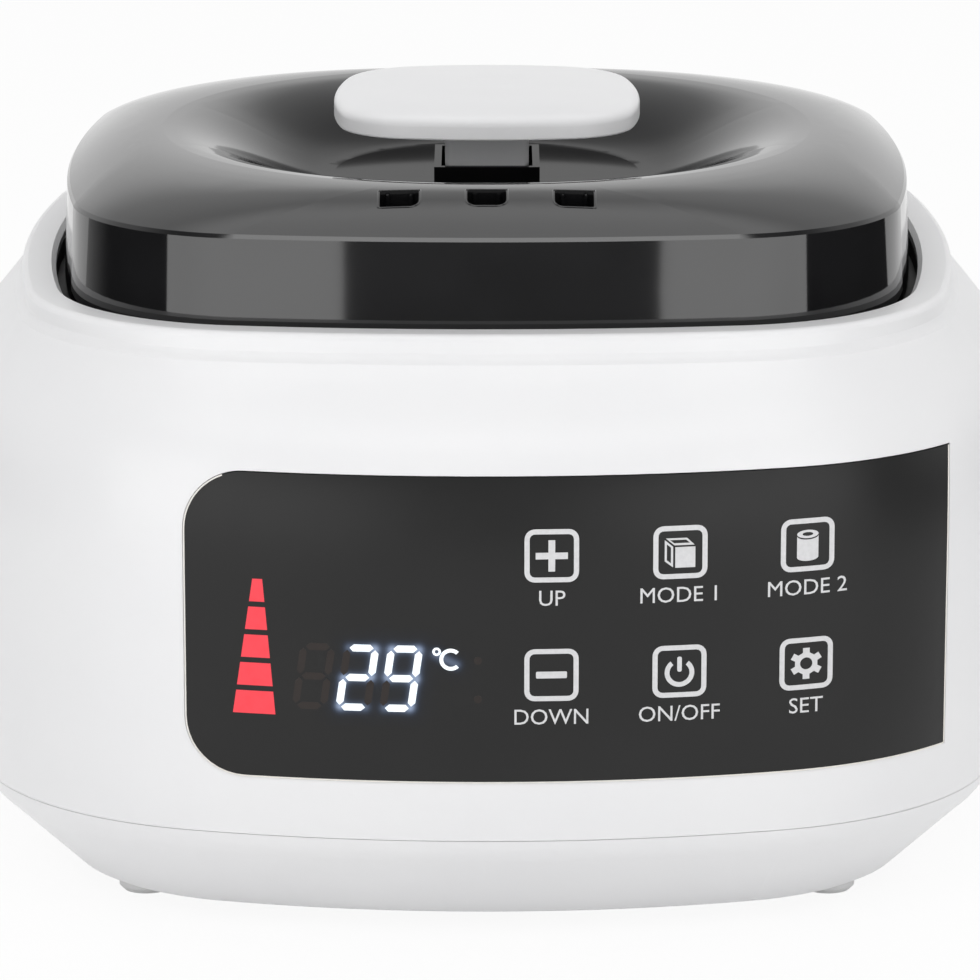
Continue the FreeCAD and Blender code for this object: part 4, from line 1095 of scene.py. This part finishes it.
@dataclass
class KeyField:
    """Six touch keys: frames, signs and generic words."""

    left: float = 11.9
    low: float = 54.6
    columns: int = 3
    rows: int = 2
    pitch: float = 23.6
    row_pitch: float = 22.8
    side: float = 10.0
    corner: float = 1.9
    corner_count: int = 6
    line: float = 0.95
    step: float = 0.5
    word_drop: float = 8.2
    word_height: float = 4.2
    lift: float = 0.035
    depth: float = 0.05

    def frame_tree(self, graph: Graph, take: Mapping[str, Val]) -> Val:
        """Nodes that make one key frame, repeat it and lay all on the panel.

        Args:
            graph: Geometry graph.
            take: Inputs of the tree.

        Returns:
            The frames.
        """
        rims = graph.node("GeometryNodeJoinGeometry")
        for inner in (0.0, 1.0):
            side = take["Side"] - take["Line"] * (2.0 * inner)
            soft = square(graph, side, take["Corner"] - take["Line"] * inner, self.corner_count)
            fine = graph.val("GeometryNodeResampleCurve", {"mode": "LENGTH"},
                             {"Curve": soft, "Length": take["Step"]})
            graph.tree.links.new(fine.socket, rims.inputs[0])
        ring = graph.val("GeometryNodeFillCurve", {"mode": "TRIANGLES"},
                         {"Curve": Val(graph, rims.outputs[0])})
        width, height = take["Pitch"] * (self.columns - 1), take["Row Pitch"] * (self.rows - 1)
        grid = graph.val("GeometryNodeMeshGrid", {}, {
            "Size X": width, "Size Y": height, "Vertices X": self.columns, "Vertices Y": self.rows})
        middle = graph.val("ShaderNodeCombineXYZ", {}, {
            0: take["Left"] + width * 0.5, 1: take["Low"] + height * 0.5})
        moved = graph.val("GeometryNodeTransform", {}, {"Geometry": grid, "Translation": middle})
        many = graph.val("GeometryNodeInstanceOnPoints", {}, {"Points": moved, "Instance": ring})
        real = graph.val("GeometryNodeRealizeInstances", {}, {0: many})
        return lay(graph, real, take["Panel"], take["Lift"])

    def frames(self, ink: Material) -> Piece:
        """Makes the key frames.

        Args:
            ink: Finish of the print.

        Returns:
            The finished piece.
        """
        values = {"Left": self.left, "Low": self.low, "Pitch": self.pitch, "Row Pitch": self.row_pitch,
                  "Side": self.side, "Corner": self.corner, "Line": self.line, "Step": self.step,
                  "Lift": self.lift, "Panel": frame["nodes"]["control_panel"], "Finish": ink}
        holder = linked("key_frames", bpy.data.meshes.new("key_frames"))
        return run_tree(holder, values, self.frame_tree)

    def build(self, ink: Material) -> list[Piece]:
        """Makes all the print of the keys.

        Args:
            ink: Finish of the print.

        Returns:
            The finished pieces.
        """
        table = (((Sign.MINUS, "DOWN"), (Sign.POWER, "ON/OFF"), (Sign.GEAR, "SET")),
                 ((Sign.PLUS, "UP"), (Sign.BLOCK, "MODE 1"), (Sign.CAN, "MODE 2")))
        signs, labels = [], []
        for row, keys in enumerate(table):
            for column, (sign, word) in enumerate(keys):
                x, z = self.left + self.pitch * column, self.low + self.row_pitch * row
                signs.append(flat_mesh("sign", sign.at(x, z)))
                labels.append(text_mesh("word", word, x, z - self.word_drop, self.word_height))
        pieces = [self.frames(ink)]
        for name, meshes in (("key_signs", signs), ("key_words", labels)):
            pieces.append(on_panel(joined(name, meshes), ink, self.lift))
        for piece in pieces:
            outward(piece.data, self.depth)
            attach(piece, Body.HOUSING.value)
        return pieces


@dataclass
class Readout:
    """Figures, unlit bars, level bars and the haze of light round the figures."""

    left: float = -36.05
    low: float = 47.45
    pitch: float = 8.07
    width: float = 6.5
    height: float = 12.75
    bar: float = 1.36
    gap: float = 0.36
    lean: float = math.tan(math.radians(8.2))
    level_count: int = 5
    level_middle: float = -42.97
    level_low: float = 46.1
    level_pitch: float = 5.39
    level_height: float = 4.36
    level_half: float = 3.95
    level_top_half: float = 0.92
    level_lean: float = 0.81
    degree_middle: Span = (-9.2, 59.1)
    degree_radius: float = 0.8
    degree_line: float = 0.45
    letter_middle: Span = (-6.6, 57.6)
    letter_radius: float = 1.75
    letter_line: float = 0.72
    letter_turn: Span = (46.0, 314.0)
    dot_x: float = -1.9
    dot_rise: float = 2.0
    dot_heights: Span = (57.4, 50.0)
    dot_radius: float = 0.75
    round_steps: int = 20
    haze_left: float = -32.0
    haze_low: float = 44.4
    haze_cell: float = 0.4
    haze_columns: int = 74
    haze_rows: int = 48
    haze_sign: tuple[Span, Span] = ((-9.3, 58.6), (-5.6, 56.6))
    haze_near: Span = (0.55, 1.05)
    haze_far: Span = (0.05, 2.6)
    haze_lift: float = 0.012
    lift: float = 0.03
    depth: float = 0.045

    def bar_loop(self, slot: int, seg: Seg) -> Loop:
        """Outline of one bar with pointed ends.

        Args:
            slot: Place of the figure, from the left.
            seg: Which bar.

        Returns:
            The closed outline.
        """
        half = self.bar / 2
        wide, tall = self.width - self.bar, self.height - self.bar
        ends = [Vector((half + column * wide, half + row * tall / 2)) for column, row in seg.value]
        along = (ends[1] - ends[0]).normalized()
        across = Vector((-along.y, along.x)) * half
        first = ends[0] + along * self.gap
        last = ends[1] - along * self.gap
        points = [first, first + along * half - across, last - along * half - across, last,
                  last - along * half + across, first + along * half + across]
        base = self.left + self.pitch * slot
        return [(base + p.x + self.lean * p.y, self.low + p.y) for p in points]

    def lit(self) -> list[tuple[int, Seg]]:
        """The bars that are on.

        Returns:
            Places of the figures with their bars.
        """
        two = (Seg.TOP, Seg.UPPER_RIGHT, Seg.MIDDLE, Seg.LOWER_LEFT, Seg.BOTTOM)
        nine = (Seg.TOP, Seg.UPPER_RIGHT, Seg.UPPER_LEFT, Seg.MIDDLE, Seg.LOWER_RIGHT, Seg.BOTTOM)
        return [(1, seg) for seg in two] + [(2, seg) for seg in nine]

    def unit_sign(self) -> list[Loop]:
        """Degree ring and letter beside the figures.

        Returns:
            Their outlines.
        """
        inner = self.degree_radius - self.degree_line
        ring = [sweep(*self.degree_middle, r, r, steps=self.round_steps) for r in (self.degree_radius, inner)]
        letter = arc_band(*self.letter_middle, self.letter_radius, self.letter_line, *self.letter_turn)
        return ring + [letter]

    def levels(self) -> list[Loop]:
        """Bars that narrow towards the top.

        Returns:
            One outline for each bar.
        """
        loops = []
        full = (self.level_count - 1) * self.level_pitch + self.level_height
        for count in range(self.level_count):
            low = self.level_low + self.level_pitch * count
            high = low + self.level_height
            loop = []
            for z, side in ((low, -1), (low, 1), (high, 1), (high, -1)):
                rise = (z - self.level_low) / full
                half = self.level_half + (self.level_top_half - self.level_half) * rise
                loop.append((self.level_middle + self.level_lean * rise + side * half, z))
            loops.append(loop)
        return loops

    def glow(self, point: Vector, lines: Sequence[tuple[Vector, Vector]]) -> float:
        """Light that reaches a point of the overlay.

        Args:
            point: The point.
            lines: Middle lines of what is lit.

        Returns:
            Its level, up to 1.
        """
        total = 0.0
        for a, b in lines:
            along = b - a
            share = max(0.0, min(1.0, (point - a).dot(along) / along.length_squared))
            away = (point - a - along * share).length
            for level, reach in (self.haze_near, self.haze_far):
                total += level * math.exp(-((away / reach) ** 2))
        return min(1.0, total)

    def haze(self, material: Material) -> Piece:
        """Thin film round the figures that carries their glow.

        Args:
            material: Finish that reads the glow.

        Returns:
            The finished piece.
        """
        bars = [self.bar_loop(*spot) for spot in self.lit()]
        lines = [(Vector(loop[0]), Vector(loop[3])) for loop in bars]
        lines.append(tuple(Vector(end) for end in self.haze_sign))
        wide = self.haze_columns + 1
        points = [Vector((self.haze_left + self.haze_cell * column, self.haze_low + self.haze_cell * row))
                  for row in range(self.haze_rows + 1) for column in range(wide)]
        faces = [(r * wide + c, r * wide + c + 1, (r + 1) * wide + c + 1, (r + 1) * wide + c)
                 for r in range(self.haze_rows) for c in range(self.haze_columns)]
        mesh = bpy.data.meshes.new("figure_haze")
        mesh.from_pydata([(point.x * MM, point.y * MM, 0.0) for point in points], [], faces)
        levels = [self.glow(point, lines) for point in points]
        mesh.attributes.new("glow", "FLOAT", "POINT").data.foreach_set("value", levels)
        return on_panel(linked("figure_haze", mesh), material, self.haze_lift)

    def build(self) -> list[Piece]:
        """Makes the readout.

        Returns:
            The finished pieces.
        """
        on = self.lit()
        dark = [(slot, seg) for slot in (0, 1, 2) for seg in Seg if (slot, seg) not in on]
        x, r = self.dot_x + self.lean * self.dot_rise, self.dot_radius
        dots = [sweep(x, z, r, r, steps=self.round_steps) for z in self.dot_heights]
        sets = (
            ("figures_lit", [self.bar_loop(*spot) for spot in on] + self.unit_sign(), WHITE_LIGHT),
            ("figures_unlit", [self.bar_loop(*spot) for spot in dark] + dots, UNLIT),
            ("level_bars", self.levels(), RED_LIGHT),
        )
        pieces = []
        for name, loops, finish in sets:
            piece = on_panel(joined(name, [flat_mesh(name, loops)]), finish.make(), self.lift)
            outward(piece.data, self.depth)
            pieces.append(piece)
        pieces.append(self.haze(HAZE.make()))
        for piece in pieces:
            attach(piece, Body.HOUSING.value)
        return pieces


@dataclass(frozen=True)
class SoftBox:
    """Soft box that faces the object. Lengths in metres; a level of 1 is a white face."""

    name: str
    place: tuple[float, float, float]
    size: Span
    level: float
    mirrored: bool = True
    aim: tuple[float, float, float] = (0.0, 0.0, 0.08)

    def hang(self) -> None:
        """Puts the lamp in the scene."""
        width, height = self.size
        data = bpy.data.lights.new(self.name, "AREA")
        data.shape = "RECTANGLE"
        data.size = width
        data.size_y = height
        data.energy = self.level * math.pi * width * height
        lamp = linked(self.name, data)
        lamp.location = self.place
        lamp.rotation_euler = (Vector(self.aim) - Vector(self.place)).to_track_quat("-Z", "Y").to_euler()
        lamp.visible_camera = False
        lamp.visible_glossy = self.mirrored


SOFT_BOXES = (
    SoftBox("softbox_left", (-0.97, -1.40, 0.10), (1.50, 1.3), 1.9),
    SoftBox("softbox_right", (1.0, -1.38, 0.10), (1.42, 1.3), 1.9),
    SoftBox("softbox_high", (0.0, -1.0, 1.3), (2.2, 0.36), 2.7),
    SoftBox("softbox_top", (0.0, -0.2, 1.6), (2.4, 1.6), 0.35, mirrored=False),
    SoftBox("fill_low", (0.0, -0.9, 0.04), (1.8, 0.3), 0.6, mirrored=False),
    SoftBox("fill_left", (-2.0, -0.7, 0.5), (1.6, 1.6), 0.14, mirrored=False),
    SoftBox("fill_right", (2.0, -0.7, 0.5), (1.6, 1.6), 0.14, mirrored=False),
)


def ray(graph: Graph, *kinds: str) -> Val:
    """One for a ray of any of these kinds, else nothing.

    Args:
        graph: Node graph of a material or the world.
        kinds: Outputs of the Light Path node.

    Returns:
        The value.
    """
    other: Any = 1.0
    for kind in kinds:
        other = other * (1.0 - graph.val("ShaderNodeLightPath", {}, {}, kind))
    return 1.0 - other


@dataclass
class Room:
    """World: white to the camera, with a white backdrop in mirrors; the rest is darker, most of all in front.

    Spans are parts of a direction: across, back or up.
    """

    white: float = 0.98
    level: float = 0.16
    side_span: Span = (0.2, 0.6)
    side_dim: float = 0.13
    behind_span: Span = (-0.35, 0.15)
    foot_span: Span = (-0.15, 0.03)
    head_span: Span = (0.25, 0.55)
    head_dim: float = 0.45
    ceiling_span: Span = (0.72, 0.92)
    ceiling_level: float = 0.65
    strip_left: Span = (0.05, 0.4)
    strip_back: Span = (0.2, 0.8)
    strip_top: Span = (-0.15, 0.05)
    strip_level: float = 0.5

    def build(self) -> None:
        """Makes the world."""
        world = bpy.data.worlds.new("room")
        bpy.context.scene.world = world
        world.use_nodes = True
        graph = Graph(world.node_tree)
        x, y, z = graph.val("ShaderNodeTexCoord", {}, {}, "Generated").parts()
        foot, head, behind = z.smooth(*self.foot_span), z.smooth(*self.head_span), y.smooth(*self.behind_span)
        backdrop = foot * (1.0 - head * self.head_dim) + z.smooth(*self.ceiling_span) * self.ceiling_level
        strip = (0.0 - x).smooth(*self.strip_left) * y.smooth(*self.strip_back)
        strip = strip * (1.0 - z.smooth(*self.strip_top))
        sides = (x * x).smooth(*self.side_span) * self.side_dim
        level = self.level - sides + behind * backdrop + strip * self.strip_level
        shown = ray(graph, "Is Glossy Ray", "Is Transmission Ray") * behind * foot * (1.0 - head)
        seen = 1.0 - (1.0 - ray(graph, "Is Camera Ray")) * (1.0 - shown)
        grey = graph.val("ShaderNodeCombineColor", {}, {0: level, 1: level, 2: level})
        room = graph.val("ShaderNodeBackground", {}, {"Color": grey, "Strength": 1.0})
        pale = graph.val("ShaderNodeBackground", {}, {"Color": (*[self.white] * 3, 1.0), "Strength": 1.0})
        mixed = graph.val("ShaderNodeMixShader", {}, {0: seen, 1: room, 2: pale})
        graph.node("ShaderNodeOutputWorld", {}, {"Surface": mixed})


@dataclass
class Studio:
    """Floor, lights, world and camera. Lengths in metres."""

    eye: tuple[float, float, float] = (0.0006, -1.26408, 0.36769)
    tilt_deg: float = 13.5
    lens: float = 239.73
    sensor: float = 36.0
    clip: Span = (0.05, 50.0)
    floor_half: float = 0.40
    floor_front: float = -0.48
    floor_waist: float = 0.30
    floor_wide: float = 4.0
    floor_flare: float = 2.0
    floor_back: float = 6.0
    floor_tone: float = 0.94
    floor_white: float = 0.92

    def camera(self) -> None:
        """Camera at the photograph's place."""
        data = bpy.data.cameras.new("camera")
        data.lens = self.lens
        data.sensor_width = self.sensor
        data.clip_start, data.clip_end = self.clip
        eye = linked("camera", data)
        eye.location = self.eye
        eye.rotation_euler = (math.radians(90.0 - self.tilt_deg), 0.0, 0.0)
        bpy.context.scene.camera = eye

    def floor(self) -> None:
        """Pale floor that is white to the camera and in mirrors, and keeps a soft shadow."""
        mesh = bpy.data.meshes.new("floor")
        near, far = self.floor_half, self.floor_wide
        right = [(near, self.floor_front), (near, self.floor_waist),
                 (far, self.floor_flare), (far, self.floor_back)]
        outline = right + [(-x, y) for x, y in right[::-1]]
        mesh.from_pydata([(x, y, 0.0) for x, y in outline], [], [tuple(range(len(outline)))])
        floor = linked("floor", mesh)
        material = bpy.data.materials.new("floor")
        material.use_nodes = True
        graph = Graph(material.node_tree)
        seen = ray(graph, "Is Camera Ray", "Is Glossy Ray", "Is Transmission Ray")
        plain = graph.val("ShaderNodeBsdfDiffuse", {}, {"Color": (*[self.floor_tone] * 3, 1.0)})
        white = graph.val("ShaderNodeEmission", {}, {"Color": (1.0, 1.0, 1.0, 1.0), "Strength": 1.0})
        mixed = graph.val("ShaderNodeMixShader", {}, {0: seen * self.floor_white, 1: plain, 2: white})
        graph.node("ShaderNodeOutputMaterial", {}, {"Surface": mixed})
        mesh.materials.append(material)

    def build(self) -> None:
        """Makes the studio."""
        bpy.context.scene.view_settings.view_transform = "Standard"
        self.floor()
        Room().build()
        for box in SOFT_BOXES:
            box.hang()
        self.camera()


class Dresser:
    """Gives every CAD node its finish."""

    def __init__(self) -> None:
        """Builds the finish of every material slot in the record."""
        self.materials = {finish.name: finish.make() for finish in FINISHES}

    def dress(self) -> None:
        """Sets the material of each node by its slot in the record."""
        for part in frame["record"]["subparts"]:
            node = frame["nodes"][part["node"]]
            material = self.materials[part["material_slot"]]
            node.data.materials.clear()
            node.data.materials.append(material)
            LOG.info("dressed %s in %s", part["node"], material.name)


def report(pieces: Sequence[Piece]) -> None:
    """Logs finished pieces."""
    for piece in pieces:
        LOG.info("made %s with %d faces", piece.name, len(piece.data.polygons))


def main() -> None:
    """Builds the looks in order."""
    logging.basicConfig(level=logging.INFO, format="%(name)s: %(message)s")
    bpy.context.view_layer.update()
    dresser = Dresser()
    dresser.dress()
    report(PanelEdge().build())
    report(SeamStrip().build(dresser.materials["white_shell"]))
    report(SteamSlots().build(dresser.materials["black_gloss"]))
    report(KeyField().build(INK.make()))
    report(Readout().build())
    Studio().build()


if __name__ == "__main__":
    main()
